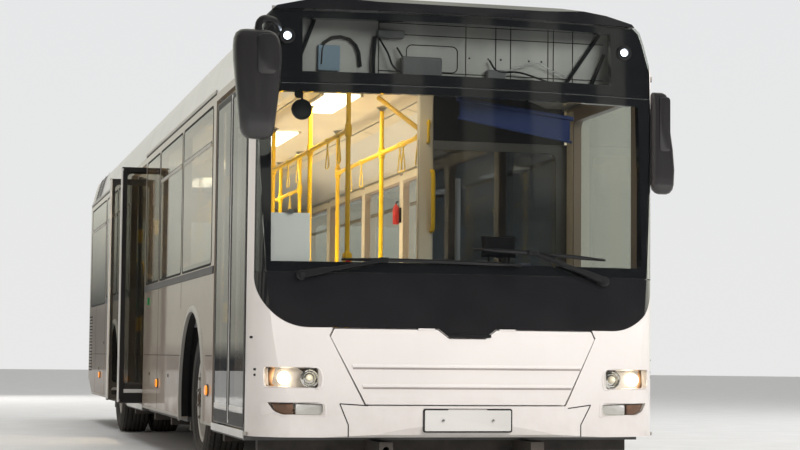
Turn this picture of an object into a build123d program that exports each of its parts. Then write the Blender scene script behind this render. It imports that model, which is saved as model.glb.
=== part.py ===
from build123d import *
import math
import os

os.makedirs("parts", exist_ok=True)

# A twelve-metre low-floor city bus, in millimetres.
# The bus faces -Y, +X is its left (driver's) side, +Z is up, and the road is z = 0.
# The origin lies on the road, midway along the overall length and width.

# Body
body_length = 11980
body_width = 2500
roof_height = 2940
mirror_forward_reach = 330
mirror_side_reach = 1460
skirt_z = 320
gutter_z = roof_height - 440
wall = 60
skin = 12
fit = 0.3
seam = 8

# Running gear
front_overhang = 2700
rear_overhang = 3405
wheelbase = body_length - front_overhang - rear_overhang
tyre_radius = 478
tyre_width = 276
rim_seat_radius = 286
front_wheel_x = 1050
twin_outer_x = 1050
twin_spacing = 310
kingpin_x = 930
arch_radius = 610
box_clearance = 15
box_sheet = 25
box_inner_x = 550

# Front end
front_bulge_radius = 6000
front_corner_radius = 280
front_lean_deg = 4
lean_start_z = 550
black_half_width = 1225
black_bottom_z = 950
black_corner_radius = 300
glass_bottom_z = 1270
glass_top_z = gutter_z - 120
sign_top_z = roof_height - 120
notch_half_width = 175
notch_depth = 52
flap_bottom_z = 510
flap_bottom_half = 600
flap_top_half = 826
flap_thick = 30
flap_edge = 55
flap_edge_thick = 8
flap_corner = 46

# Rear end
rear_depth = 380
rear_corner_radius = 160
rear_bulge_radius = 9000
rear_slope_y = body_length - 780
rear_slope_z = 560
lid_half_width = 880
lid_bottom_z = 640
lid_top_z = 1430
lid_thick = 40

# Doors
portal_width = 1292
front_portal_y = 390
middle_portal_y = front_overhang + wheelbase - 2715
door_bottom_z = 355
door_top_z = gutter_z - 60
leaf_top_z = door_top_z - 20
header_gap = 10
leaf_thick = 35
leaf_outer_inset = 5
column_radius = 22
column_inset = 90
column_from_post = 7
edge_past_roller = 295
meeting_gap = 16
arm_thick = 13
arm_gap = 6
arm_width = 30
sleeve = 4
pin_radius = 9
pin_play = 0.5
stile = 45
rail_tube = 15

# Cabin
floor_z = 330
floor_thick = 40
deck_z = 900
deck_y = body_length - 1860
step_depth = 280
ceiling_z = roof_height - 240
ceiling_crown = 12
coving_x = 460
belt_z = 1380
window_top_z = gutter_z - 50
glass_thick = 6
glass_land = 42
glass_rim = 3
window_corner = 60
pole = 17

front_y = -(body_length - mirror_forward_reach) / 2
half = body_width / 2
inside = half - wall
arch_box_radius = arch_radius + box_clearance


def along(distance):
    """The Y of a place that many millimetres behind the front face."""
    return front_y + distance


standard_length = 11980
bays_start = 1812
bays_end = 5770


def bay(distance):
    """A place given for the standard length, moved to where a longer or shorter bus has it."""
    share = min(max((distance - bays_start) / (bays_end - bays_start), 0), 1)
    return distance + (body_length - standard_length) * share


front_axle_y = along(front_overhang)
rear_axle_y = front_axle_y + wheelbase
rear_y = along(body_length)
front_depth = front_portal_y
frame_top_z = floor_z - floor_thick


def block(x0, x1, y0, y1, z0, z1):
    """A box between two corners."""
    return Pos((x0 + x1) / 2, (y0 + y1) / 2, (z0 + z1) / 2) * Box(x1 - x0, y1 - y0, z1 - z0)


def rod_x(radius, x0, x1, y, z):
    """A round bar along X."""
    return Pos((x0 + x1) / 2, y, z) * Rot(0, 90, 0) * Cylinder(radius, x1 - x0)


def rod_y(radius, x, y0, y1, z):
    """A round bar along Y."""
    return Pos(x, (y0 + y1) / 2, z) * Rot(90, 0, 0) * Cylinder(radius, y1 - y0)


def rod_z(radius, x, y, z0, z1):
    """A round bar along Z."""
    return Pos(x, y, (z0 + z1) / 2) * Cylinder(radius, z1 - z0)


def mirrored(shape):
    """The shape on the other side of the bus."""
    return mirror(shape, Plane.YZ)


def sweep_y(face, y0, y1):
    """A flat (x, z) outline carried along Y."""
    return extrude(Pos(0, y0, 0) * (Plane.XZ * face), amount=y1 - y0, dir=(0, 1, 0))


def sweep_x(face, x0, x1):
    """A flat (y, z) outline carried along X."""
    return extrude(Pos(x0, 0, 0) * (Plane.YZ * face), amount=x1 - x0, dir=(1, 0, 0))


def prism_y(points, y0, y1):
    """A prism along Y over (x, z) points."""
    return sweep_y(make_face(Polyline(points, close=True)), y0, y1)


def prism_x(points, x0, x1):
    """A prism along X over (y, z) points."""
    return sweep_x(make_face(Polyline(points, close=True)), x0, x1)


def pane_x(y0, y1, z0, z1, radius, x0, x1):
    """A rounded slab between two X planes."""
    sheet = Pos((y0 + y1) / 2, (z0 + z1) / 2) * RectangleRounded(y1 - y0, z1 - z0, radius)
    return sweep_x(sheet, x0, x1)


def pane_y(x0, x1, z0, z1, radius, y0, y1):
    """A rounded slab between two Y planes."""
    sheet = Pos((x0 + x1) / 2, (z0 + z1) / 2) * RectangleRounded(x1 - x0, z1 - z0, radius)
    return sweep_y(sheet, y0, y1)


def solids_of(*shapes):
    """One compound of all the solids in some shapes."""
    return Compound([solid for shape in shapes for solid in shape.solids()])


def save(name, *shapes):
    """Writes one node."""
    export_step(solids_of(*shapes), f"parts/{name}.step")


# Front envelope


def end_plan(inset, bulge, corner_radius, depth):
    """An end of the body from above: straight sides, corner arcs and a shallow bow."""
    side_x = half - inset
    bow = bulge - inset
    corner = corner_radius - inset
    corner_x = half - corner_radius
    corner_y = bulge - math.sqrt((bulge - corner_radius) ** 2 - corner_x**2)
    share = bow / (bulge - corner_radius)
    touch_x = corner_x * share
    touch_y = bulge - (bulge - corner_y) * share
    turn = math.atan2(bulge - corner_y, corner_x) / 2
    middle_x = corner_x + corner * math.cos(turn)
    middle_y = corner_y - corner * math.sin(turn)
    edge = [
        Line((side_x, depth), (side_x, corner_y)),
        ThreePointArc((side_x, corner_y), (middle_x, middle_y), (touch_x, touch_y)),
        ThreePointArc((touch_x, touch_y), (0, inset), (-touch_x, touch_y)),
        ThreePointArc((-touch_x, touch_y), (-middle_x, middle_y), (-side_x, corner_y)),
        Line((-side_x, corner_y), (-side_x, depth)),
        Line((-side_x, depth), (side_x, depth)),
    ]
    return make_face(edge)


def corner_plan(inset, depth):
    """The front corners from above; between them the outline runs ahead of the shallow bow."""
    corner_x = half - front_corner_radius
    corner_y = front_bulge_radius - math.sqrt((front_bulge_radius - front_corner_radius) ** 2 - corner_x**2)
    corner = front_corner_radius - inset
    turn = math.atan2(front_bulge_radius - corner_y, corner_x) - math.radians(4)
    end_x = corner_x + corner * math.cos(turn)
    end_y = corner_y - corner * math.sin(turn)
    middle_x = corner_x + corner * math.cos(turn / 2)
    middle_y = corner_y - corner * math.sin(turn / 2)
    tip_y = end_y - end_x / math.tan(turn)
    edge = [
        Line((half - inset, depth), (half - inset, corner_y)),
        ThreePointArc((half - inset, corner_y), (middle_x, middle_y), (end_x, end_y)),
        Line((end_x, end_y), (0, tip_y)),
        Line((0, tip_y), (-end_x, end_y)),
        ThreePointArc((-end_x, end_y), (-middle_x, middle_y), (-half + inset, corner_y)),
        Line((-half + inset, corner_y), (-half + inset, depth)),
        Line((-half + inset, depth), (half - inset, depth)),
    ]
    return make_face(edge)


def body_section(inset, flare=0):
    """Half the body's cross-section as (x, z) points; a flare moves the upright side outwards."""
    return [
        (half - inset + flare, 200),
        (half - inset + flare, gutter_z - flare * 225 / 62),
        (half - 62 - inset, gutter_z + 225),
        (half - 85 - inset, gutter_z + 290 - inset / 3),
        (half - 140 - inset, gutter_z + 343 - inset * 0.8),
        (half - 320 - inset, gutter_z + 382 - inset),
        (half - 700 - inset, gutter_z + 422 - inset),
        (0, roof_height - inset),
    ]


def section_prism(half_points, y0, y1):
    """A prism along Y over a half section and its mirror image."""
    other = [(-x, z) for x, z in reversed(half_points) if x != 0]
    return prism_y(half_points + other, y0, y1)


def bow_depth(x, inset):
    """How far the shallow bow has fallen back at a distance from the middle."""
    return front_bulge_radius - math.sqrt((front_bulge_radius - inset) ** 2 - x**2)


def front_envelope(inset):
    """The front end as one solid, its face that far inside the outer skin."""
    lean = math.radians(front_lean_deg)
    bow = make_face(
        [
            Line((1500, 900), (1500, bow_depth(1500, inset))),
            ThreePointArc((1500, bow_depth(1500, inset)), (0, inset), (-1500, bow_depth(1500, inset))),
            Line((-1500, bow_depth(1500, inset)), (-1500, 900)),
            Line((-1500, 900), (1500, 900)),
        ]
    )
    upright = extrude(Pos(0, front_y, 180) * bow, amount=roof_height)
    up = Vector(0, math.sin(lean), math.cos(lean))
    foot = Vector(0, front_y, lean_start_z) - up * 500
    leaning = extrude(Plane(origin=foot, x_dir=(1, 0, 0), z_dir=up) * bow, amount=roof_height + 300)
    plan = corner_plan(inset, front_depth + 60)
    body = (upright & leaning) & extrude(Pos(0, front_y, 190) * plan, amount=roof_height)
    body &= section_prism(body_section(inset, 40), along(-60), along(front_depth))
    brow = [
        (along(-60), 150),
        (along(-60), roof_height - 180 - inset),
        (along(155) + inset, roof_height - 114 - inset),
        (along(185) + inset, roof_height - 60 - inset),
        (along(240) + inset, roof_height - 28 - inset),
        (along(320) + inset, roof_height - 10 - inset),
        (along(front_depth + 10), roof_height - 2 - inset),
        (along(front_depth + 10), 150),
    ]
    chin = [
        (along(-60), skirt_z + 80),
        (along(0) + inset, skirt_z + 80),
        (along(25) + inset, skirt_z + 15),
        (along(60) + inset, skirt_z),
        (along(front_depth + 5), skirt_z),
        (along(front_depth + 5), 140),
        (along(-60), 140),
    ]
    body &= prism_x(brow, -half - 5, half + 5)
    return body - prism_x(chin, -half - 5, half + 5)


def face_y(x, z, inset=0):
    """The Y of the front face at a height and a distance from the middle."""
    lean = math.radians(front_lean_deg)
    bow = bow_depth(x, inset)
    leaning = bow / math.cos(lean) + (z - lean_start_z) * math.tan(lean)
    return along(max(bow, leaning))


def black_region(grow, z_top):
    """The dark part of the front seen head on: round lower corners and a dip in the middle."""
    side = black_half_width + grow
    bottom = black_bottom_z - grow
    r = black_corner_radius
    s = r * math.sqrt(0.5)
    dip = bottom - notch_depth
    edge = [
        Line((side - r, bottom), (notch_half_width + grow, bottom)),
        Line((notch_half_width + grow, bottom), (notch_half_width - 70 + grow, dip)),
        Line((notch_half_width - 70 + grow, dip), (-notch_half_width + 70 - grow, dip)),
        Line((-notch_half_width + 70 - grow, dip), (-notch_half_width - grow, bottom)),
        Line((-notch_half_width - grow, bottom), (-side + r, bottom)),
        ThreePointArc((-side + r, bottom), (-side + r - s, bottom + r - s), (-side, bottom + r)),
        Line((-side, bottom + r), (-side, z_top)),
        Line((-side, z_top), (side, z_top)),
        Line((side, z_top), (side, bottom + r)),
        ThreePointArc((side, bottom + r), (side - r + s, bottom + r - s), (side - r, bottom)),
    ]
    return sweep_y(make_face(edge), front_y - 50, front_y + 500)


def flap_region(grow):
    """The service flap seen head on."""
    top = black_bottom_z - seam + grow
    dip = top - notch_depth
    low = flap_bottom_z - grow
    slope = (flap_top_half - flap_bottom_half) / (black_bottom_z - seam - flap_bottom_z)
    points = [
        (flap_bottom_half + grow, low),
        (flap_top_half + grow - slope * flap_corner, top - flap_corner),
        (flap_top_half + grow - flap_corner, top),
        (notch_half_width + 4, top),
        (notch_half_width - 66, dip),
        (-notch_half_width + 66, dip),
        (-notch_half_width - 4, top),
        (-flap_top_half - grow + flap_corner, top),
        (-flap_top_half - grow + slope * flap_corner, top - flap_corner),
        (-flap_bottom_half - grow, low),
    ]
    return prism_y(points, front_y - 50, front_y + 300)


def slab(z0, z1):
    """The whole front end between two heights."""
    return block(-half - 10, half + 10, front_y - 50, along(front_depth), z0, z1)


outer = front_envelope(0)
front_wall = outer - front_envelope(wall)
flap_skin = outer - front_envelope(flap_thick)
flap_pocket = outer - front_envelope(flap_thick + seam)
lamp_depth = outer - front_envelope(wall - 12)
lamp_body = outer - front_envelope(wall - 12 - fit)
dark = black_region(0, roof_height + 50.7)
dark_hole = black_region(1, roof_height + 60.7)

# Lamp openings in the front: centre x, centre z, width, height
front_lamps = [
    (1040, 660, 330, 118),
    (1015, 484, 330, 66),
]


def front_lamp(row, grow):
    """One lamp opening seen head on."""
    x, z, width, height = row
    return pane_y(x - width / 2 - grow, x + width / 2 + grow, z - height / 2 - grow, z + height / 2 + grow,
                  24, front_y - 20, front_y + 330)


mask = front_wall - dark_hole
mask -= flap_region(seam) & flap_pocket
mask -= block(-half - 5, -inside + 40, along(front_depth - 30), along(front_depth + 5), 0, door_top_z + header_gap)
lamps = []
for row in front_lamps:
    hole = front_lamp(row, 1.5)
    body = front_lamp(row, 0)
    mask -= (hole + mirrored(hole)) & lamp_depth
    lamps += [body & lamp_body, mirrored(body) & lamp_body]

# Front frame: openings for the view, the sign and the heater behind the dark panel
frame = (front_envelope(skin + fit) & dark) - front_envelope(wall)
frame -= block(-1140, 1140, front_y - 50, along(450), glass_bottom_z + 60, glass_top_z - 50)
frame -= block(-960, 960, front_y - 50, along(450), glass_top_z + 70, sign_top_z - 50)
frame -= block(-1000, 1000, front_y - 50, along(450), black_bottom_z + 60, glass_bottom_z - 60)
frame &= slab(0, sign_top_z - seam)
marker_z = roof_height - 280
marker_x = 1050
for side in (-1, 1):
    y = face_y(marker_x, marker_z, skin + fit)
    frame -= rod_y(44, side * marker_x, y - 40, y + 24, marker_z)
    lamps.append(rod_y(43, side * marker_x, y + 11, y + 24 - fit, marker_z))

dark_solid = outer & dark
dark_skin = dark_solid - front_envelope(skin)
windscreen = dark_skin & slab(glass_bottom_z, glass_top_z)
sign_glass = dark_skin & slab(glass_top_z + 6, sign_top_z)
dark_panel = dark_skin & slab(0, glass_bottom_z - 6)
cap = (dark_solid - front_envelope(wall)) & slab(sign_top_z + 4, roof_height + 5)
service_flap = (flap_region(0) & (outer - front_envelope(flap_edge_thick))) + (flap_region(-flap_edge) & flap_skin)
flap_axis_y = face_y(notch_half_width, black_bottom_z) + 1
flap_axis_z = black_bottom_z - seam / 2
for side in (-1, 1):
    x0, x1 = sorted((side * (notch_half_width + 20), side * (notch_half_width + 120)))
    service_flap += rod_x(seam / 2 - fit, x0, x1, flap_axis_y, flap_axis_z)
    service_flap += block(x0, x1, flap_axis_y - 1, flap_axis_y + 22, flap_axis_z - 8, flap_axis_z - 2)

frame_cuts = [
    (0, glass_bottom_z + 60),
    (glass_bottom_z + 60 + fit, glass_top_z - 50 - fit),
    (glass_top_z - 50, roof_height),
]
frame_parts = [frame & slab(z0, z1) for z0, z1 in frame_cuts]

save("front_mask", mask)
save("front_fascia", *frame_parts, dark_panel, cap)
save("front_glass", windscreen, sign_glass)
save("service_flap", service_flap)

# Side walls and their glass

# Kerb side panes: front edge, rear edge, bottom, top
kerb_panes = [
    (1812, 3320, belt_z, window_top_z - 10),
    (3380, 4762, belt_z, window_top_z - 10),
    (4822, 5770, belt_z, window_top_z - 10),
    (7255, 8425, belt_z, window_top_z - 10),
    (8485, 9655, belt_z, window_top_z - 10),
    (9750, 11560, belt_z - 60, window_top_z - 10),
]
kerb_panes = [(bay(y0), bay(y1), z0, z1) for y0, y1, z0, z1 in kerb_panes]
# Driver's side panes, the first one being the driver's own window
driver_panes = [
    (450, 1600, 1150, window_top_z - 10),
    (1660, 3320, belt_z, window_top_z - 10),
    (3380, 4762, belt_z, window_top_z - 10),
    (4822, 6350, belt_z, window_top_z - 10),
    (6410, 7940, belt_z, window_top_z - 10),
    (8000, 9655, belt_z, window_top_z - 10),
    (9750, 11560, belt_z - 60, window_top_z - 10),
]
driver_panes = [(bay(y0), bay(y1), z0, z1) for y0, y1, z0, z1 in driver_panes]


def side_pane(row):
    """One pane on the +X side, flush with the outer face."""
    y0, y1, z0, z1 = row
    return pane_x(along(y0), along(y1), z0, z1, window_corner, half - glass_thick, half)


def window_hole(row):
    """The rebate and the through opening for a pane on the +X side."""
    y0, y1, z0, z1 = row
    rebate = pane_x(along(y0) - glass_rim, along(y1) + glass_rim, z0 - glass_rim, z1 + glass_rim,
                    window_corner + glass_rim, half - glass_thick - fit, half + 5)
    through = pane_x(along(y0) + glass_land, along(y1) - glass_land, z0 + glass_land, z1 - glass_land,
                     window_corner, inside - 10, half + 5)
    return rebate + through


def slope_cut():
    """What the rising line under the tail takes away."""
    points = [
        (along(rear_slope_y), skirt_z),
        (along(body_length + 50), rear_slope_z + 15),
        (along(body_length + 50), 0),
        (along(rear_slope_y), 0),
    ]
    return prism_x(points, -half - 10, half + 10)


tail_cut = slope_cut()


def side_wall(panes):
    """A side wall on the +X side with its window openings and wheel arches."""
    panel = block(inside, half, along(front_depth) + fit, along(body_length - rear_depth) - fit, skirt_z, gutter_z - fit)
    for row in panes:
        panel -= window_hole(row)
    for y in (front_axle_y, rear_axle_y):
        panel -= rod_x(arch_radius, inside - 5, half + 5, y, tyre_radius)
    return panel - tail_cut


side_wall_left = side_wall(driver_panes)
side_wall_right = side_wall(kerb_panes)
for y in (front_portal_y, middle_portal_y):
    side_wall_right -= block(inside - 5, half + 5, along(y), along(y + portal_width), 0, door_top_z + header_gap)
side_wall_right = mirrored(side_wall_right)

# Roof shell
ceiling = [
    (inside, gutter_z - 5),
    (coving_x, ceiling_z),
    (0, ceiling_z + ceiling_crown),
]
roof_start = along(front_depth) + fit
roof_end = along(body_length - rear_depth) - fit
roof = section_prism(body_section(0), roof_start, roof_end)
roof &= block(-half, half, roof_start, roof_end, gutter_z, roof_height + 5)
roof -= section_prism([(inside, gutter_z - 50)] + ceiling[1:], roof_start - 5, roof_end + 5)
# Roof hatches: place along the bus
for y in (3000, 9000):
    lid = pane_x(-390, 390, -390, 390, 60, 0, 52)
    lid = Pos(0, along(bay(y)), roof_height - 24) * Rot(0, -90, 0) * lid
    roof += chamfer(lid.faces().sort_by(Axis.Z)[-1].edges(), 12)

# Rear end


def rear_envelope(inset):
    """The rear end as one solid, its faces that far inside the outer skin."""
    plan = end_plan(inset, rear_bulge_radius, rear_corner_radius, rear_depth)
    turned = Pos(0, rear_y, 200) * Rot(0, 0, 180) * plan
    body = extrude(turned, amount=roof_height)
    body &= section_prism(body_section(inset, 40), along(body_length - rear_depth) - 5, rear_y + 5)
    crown = [
        (along(body_length - rear_depth), 150),
        (along(body_length - rear_depth), roof_height - inset),
        (along(body_length - 160) - inset, roof_height - 8 - inset),
        (along(body_length - 60) - inset, roof_height - 50 - inset),
        (rear_y + 10, roof_height - 150 - inset),
        (rear_y + 10, 150),
    ]
    return body & prism_x(crown, -half - 5, half + 5)


def rear_region(grow):
    """The engine lid seen from behind."""
    return pane_y(-lid_half_width - grow, lid_half_width + grow, lid_bottom_z - grow, lid_top_z + grow,
                  50 + grow, rear_y - 200, rear_y + 20)


rear_outer = rear_envelope(0)
rear_wall = rear_outer - rear_envelope(wall)
rear_wall -= tail_cut
rear_wall -= rear_region(seam)
engine_lid = (rear_outer - rear_envelope(lid_thick)) & rear_region(0)
lid_axis_y = rear_y - 1
lid_axis_z = lid_top_z + seam / 2
for side in (-1, 1):
    x0, x1 = sorted((side * 100, side * 220))
    engine_lid += rod_x(seam / 2 - fit, x0, x1, lid_axis_y, lid_axis_z)
    engine_lid += block(x0, x1, lid_axis_y - 24, lid_axis_y, lid_axis_z - 8, lid_axis_z - 2)
rear_pane = (-1050, 1050, 1560, gutter_z - 80)


def rear_glass_region(grow):
    """The rear window seen from behind."""
    x0, x1, z0, z1 = rear_pane
    return pane_y(x0 - grow, x1 + grow, z0 - grow, z1 + grow, 90, rear_y - 200, rear_y + 20)


rear_wall -= rear_glass_region(glass_rim) & (rear_outer - rear_envelope(glass_thick + fit))
rear_wall -= rear_glass_region(-glass_land)
rear_glass = rear_glass_region(0) & (rear_outer - rear_envelope(glass_thick))

# Tail lamps: centre x, centre z, radius
tail_lamps = [
    (1120, 1330, 52),
    (1120, 1190, 52),
    (1120, 1050, 52),
    (1120, 910, 52),
]
tail_depth = rear_outer - rear_envelope(40)
for x, z, radius in tail_lamps:
    hole = rod_y(radius + 1.5, x, rear_y - 150, rear_y + 10, z)
    body = rod_y(radius, x, rear_y - 150, rear_y + 10, z)
    rear_wall -= (hole + mirrored(hole)) & tail_depth
    rear_body = body & (rear_outer - rear_envelope(40 - fit))
    lamps += [rear_body, mirrored(rear_body)]

side_glass = [side_pane(row) for row in driver_panes]
side_glass += [mirrored(side_pane(row)) for row in kerb_panes]

save("side_wall_left", side_wall_left)
save("side_wall_right", side_wall_right)
save("roof", roof)
save("rear_wall", rear_wall)
save("engine_lid", engine_lid)
save("side_windows", *side_glass, rear_glass)
save("lamps", *lamps)

# Floor with its wheel boxes, the steps and the rear deck


def tunnel(radius, x0, x1, y):
    """A wheel box form: a half round over straight sides, along X."""
    bottom = frame_top_z
    edge = [
        Line((y - radius, bottom), (y - radius, tyre_radius)),
        ThreePointArc((y - radius, tyre_radius), (y, tyre_radius + radius), (y + radius, tyre_radius)),
        Line((y + radius, tyre_radius), (y + radius, bottom)),
        Line((y + radius, bottom), (y - radius, bottom)),
    ]
    return sweep_x(make_face(edge), x0, x1)


steps_start = deck_y - 2 * step_depth
rise = (deck_z - floor_z) / 3
box_edge_x = box_inner_x - box_sheet
box_reach = arch_box_radius + box_sheet + fit
rear_room = rear_envelope(wall + fit) + block(-inside + fit, inside - fit, along(steps_start) - 1,
                                              along(body_length - rear_depth), 200, gutter_z)
floor = [front_envelope(wall + fit) & slab(frame_top_z, floor_z)]
floor.append(block(-box_edge_x + fit, box_edge_x - fit, along(front_depth) + fit, along(steps_start) - fit,
                   frame_top_z, floor_z))
side_strips = [
    (along(front_depth) + fit, front_axle_y - box_reach),
    (front_axle_y + box_reach, rear_axle_y - box_reach),
    (rear_axle_y + box_reach, along(steps_start) - fit),
]
sills = [along(front_portal_y), along(middle_portal_y)]
for y0, y1 in side_strips:
    strip = block(box_edge_x, inside - fit, y0, y1, frame_top_z, floor_z)
    kerb_strip = mirrored(strip)
    for y in sills:
        if y0 < y + portal_width / 2 < y1:
            kerb_strip += block(-half + leaf_outer_inset, -inside + 5, y + 3, y + portal_width - 3, frame_top_z, floor_z)
    floor += [strip, kerb_strip]
for y in (front_axle_y, rear_axle_y):
    shell = tunnel(arch_box_radius + box_sheet, box_edge_x, inside - fit, y)
    shell -= tunnel(arch_box_radius, box_inner_x, inside + 5, y)
    floor += [shell, mirrored(shell)]
# Steps and deck: front edge, rear edge, bottom, top
step_blocks = [
    (steps_start, steps_start + floor_thick, frame_top_z, floor_z + rise),
    (steps_start + floor_thick + fit, deck_y - step_depth - fit, floor_z + rise - floor_thick, floor_z + rise),
    (deck_y - step_depth, deck_y - step_depth + floor_thick, floor_z + rise - floor_thick, floor_z + 2 * rise),
    (deck_y - step_depth + floor_thick + fit, deck_y - fit, floor_z + 2 * rise - floor_thick, floor_z + 2 * rise),
    (deck_y, deck_y + floor_thick, floor_z + 2 * rise - floor_thick, deck_z),
    (deck_y + floor_thick + fit, body_length, deck_z - floor_thick, deck_z),
]
for y0, y1, z0, z1 in step_blocks:
    floor.append(block(-inside, inside, along(y0), along(y1), z0, z1) & rear_room)

# Underframe: long beams, cross beams and the engine's cradle
beam_low_z = 200
rail_x = 460
rail_half = 40
tow_y = 110
tow_radius = 20
tow_depth = 150
cradle_low_z = 350
cradle_top_z = 420
cradle_start = steps_start + 100
cradle_end = body_length - 630
beam_top_z = frame_top_z - fit
socket_end = 400
# Beams on each side: front edge, rear edge, bottom, top
long_beams = [
    (tow_y, socket_end, beam_low_z, beam_top_z),
    (socket_end + fit, cradle_start - fit, beam_low_z, beam_top_z),
    (cradle_start, cradle_start + 100, beam_low_z, cradle_top_z),
    (cradle_start + 100 + fit, cradle_end, cradle_low_z, cradle_top_z),
]
underframe = []
for y0, y1, z0, z1 in long_beams:
    beam = block(rail_x - rail_half, rail_x + rail_half, along(y0), along(y1), z0, z1)
    underframe += [beam, mirrored(beam)]
underframe[1] -= rod_y(tow_radius, -rail_x, along(tow_y) - 5, along(tow_y + tow_depth), (beam_low_z + frame_top_z) / 2)
# Cross beams: place along the bus, half width
cross_beams = [
    (520, 1150),
    (1800, 1150),
    (3450, 1150),
    (4600, 1150),
    (5750, 1150),
    (7350, 1150),
    (9400, 1150),
]
inner_reach = rail_x - rail_half - fit
for y, reach in cross_beams:
    y0 = along(bay(y)) - 35
    y1 = along(bay(y)) + 35
    outrigger = block(rail_x + rail_half + fit, reach, y0, y1, beam_low_z + 20, beam_top_z)
    underframe += [block(-inner_reach, inner_reach, y0, y1, beam_low_z + 20, beam_top_z), outrigger, mirrored(outrigger)]
for y in (cradle_start + 50, cradle_end - 50):
    underframe.append(block(-inner_reach, inner_reach, along(y) - 30, along(y) + 30, cradle_low_z, cradle_top_z))
engine = block(-620, 560, along(body_length - 1730), along(body_length - 660), cradle_top_z + fit,
               deck_z - floor_thick - 30)

save("floor", *floor)
save("underframe", *underframe)
save("engine", engine)

# Axles, knuckles, rims and tyres
hub_z = tyre_radius
axle_low_z = 130
pin_r = 22
boss_r = 46
boss_half = 55
spindle_r = 40
hub_play = 0.3


def front_axle_shape():
    """A dropped beam that rises to a boss for each kingpin."""
    side = [
        (0, axle_low_z),
        (500, axle_low_z),
        (800, hub_z - 48),
        (kingpin_x - 20, hub_z - 42),
        (kingpin_x - 20, hub_z + 42),
        (790, hub_z + 36),
        (rail_x + rail_half + 5, beam_low_z - fit),
        (0, beam_low_z - fit),
    ]
    other = [(-x, z) for x, z in reversed(side) if x != 0]
    beam = prism_y(side + other[:-1] if other[-1][0] == 0 else side + other, front_axle_y - 45, front_axle_y + 45)
    for side_sign in (-1, 1):
        x = side_sign * kingpin_x
        beam += rod_z(boss_r, x, front_axle_y, hub_z - boss_half, hub_z + boss_half)
        beam -= rod_z(pin_r + hub_play, x, front_axle_y, 0, 1000)
    return beam


def knuckle_shape():
    """The left knuckle: two ears on the kingpin, a web and the wheel spindle."""
    top = hub_z + boss_half + 1
    low = hub_z - boss_half - 1
    shape = rod_z(pin_r, kingpin_x, front_axle_y, low - 30, top + 30)
    shape += rod_z(boss_r, kingpin_x, front_axle_y, top, top + 34)
    shape += rod_z(boss_r, kingpin_x, front_axle_y, low - 34, low)
    web_x = kingpin_x + boss_r + 4
    shape += block(web_x, web_x + 24, front_axle_y - 46, front_axle_y + 46, low - 34, top + 34)
    shape += block(kingpin_x, web_x + 10, front_axle_y - 40, front_axle_y + 40, top, top + 34)
    shape += block(kingpin_x, web_x + 10, front_axle_y - 40, front_axle_y + 40, low - 34, low)
    shape += rod_x(170, web_x + 12, web_x + 40, front_axle_y, hub_z)
    shape += rod_x(spindle_r, web_x + 10, front_wheel_x + 120, front_axle_y, hub_z)
    return shape


def ring_profile(points, y):
    """A solid of revolution about the wheel axis at one Y, from (x, radius) points."""
    face = make_face(Polyline(points, close=True))
    turned = Plane(origin=(0, y, hub_z), x_dir=(1, 0, 0), z_dir=(0, -1, 0)) * face
    return revolve(turned, Axis((0, y, hub_z), (1, 0, 0)))


def tyre_shape(x, y):
    """A low-profile tyre with rounded shoulders and beads on the rim's seats."""
    w = tyre_width / 2
    r = tyre_radius
    bead = rim_seat_radius
    points = [
        (-w + 39, bead),
        (-w + 37, bead + 27),
        (-w + 20, bead + 34),
        (-w + 6, bead + 66),
        (-w, bead + 104),
        (-w + 8, r - 48),
        (-w + 20, r - 18),
        (-w + 40, r - 3),
        (0, r),
        (w - 40, r - 3),
        (w - 20, r - 18),
        (w - 8, r - 48),
        (w, bead + 104),
        (w - 6, bead + 66),
        (w - 20, bead + 34),
        (w - 37, bead + 27),
        (w - 39, bead),
        (w - 56, bead),
        (w - 40, bead + 70),
        (w - 44, r - 50),
        (0, r - 34),
        (-w + 44, r - 50),
        (-w + 40, bead + 70),
        (-w + 56, bead),
    ]
    return ring_profile([(x + px, pr) for px, pr in points], y)


def rim_barrel(x):
    """The rim's rolled section as (x, radius) points, seats out and well inwards."""
    w = tyre_width / 2 - 38
    seat = rim_seat_radius - fit
    return [
        (x - w - 12, seat + 24),
        (x - w - 3, seat + 24),
        (x - w - 0.5, seat),
        (x - w + 34, seat),
        (x - w + 52, seat - 26),
        (x + w - 52, seat - 26),
        (x + w - 34, seat),
        (x + w + 0.5, seat),
        (x + w + 3, seat + 24),
        (x + w + 12, seat + 24),
        (x + w + 8, seat - 10),
        (x + w - 34, seat - 12),
        (x + w - 54, seat - 38),
        (x - w + 54, seat - 38),
        (x - w + 34, seat - 12),
        (x - w - 8, seat - 10),
    ]


def disc_holes(shape, x0, x1, y, count, circle, radius):
    """Cuts a ring of holes through a wheel disc."""
    for i in range(count):
        turn = math.radians(360 * i / count)
        shape -= rod_x(radius, x0, x1, y + circle * math.cos(turn), hub_z + circle * math.sin(turn))
    return shape


def front_rim_shape():
    """The left front rim with a domed disc and its hub."""
    x = front_wheel_x
    w = tyre_width / 2 - 38
    disc = [
        (x + 20, rim_seat_radius - 34),
        (x + 44, rim_seat_radius - 34),
        (x + 96, 190),
        (x + 96, 95),
        (x + 116, 92),
        (x + 122, 60),
        (x + 122, spindle_r - 12),
        (x + 121, spindle_r - 12),
        (x + 121, spindle_r + hub_play),
        (x - 10, spindle_r + hub_play),
        (x - 10, 90),
        (x + 82, 95),
        (x + 82, 186),
    ]
    shape = ring_profile(rim_barrel(x), front_axle_y) + ring_profile(disc, front_axle_y)
    return disc_holes(shape, x + 20, x + 110, front_axle_y, 10, 212, 15)


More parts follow.
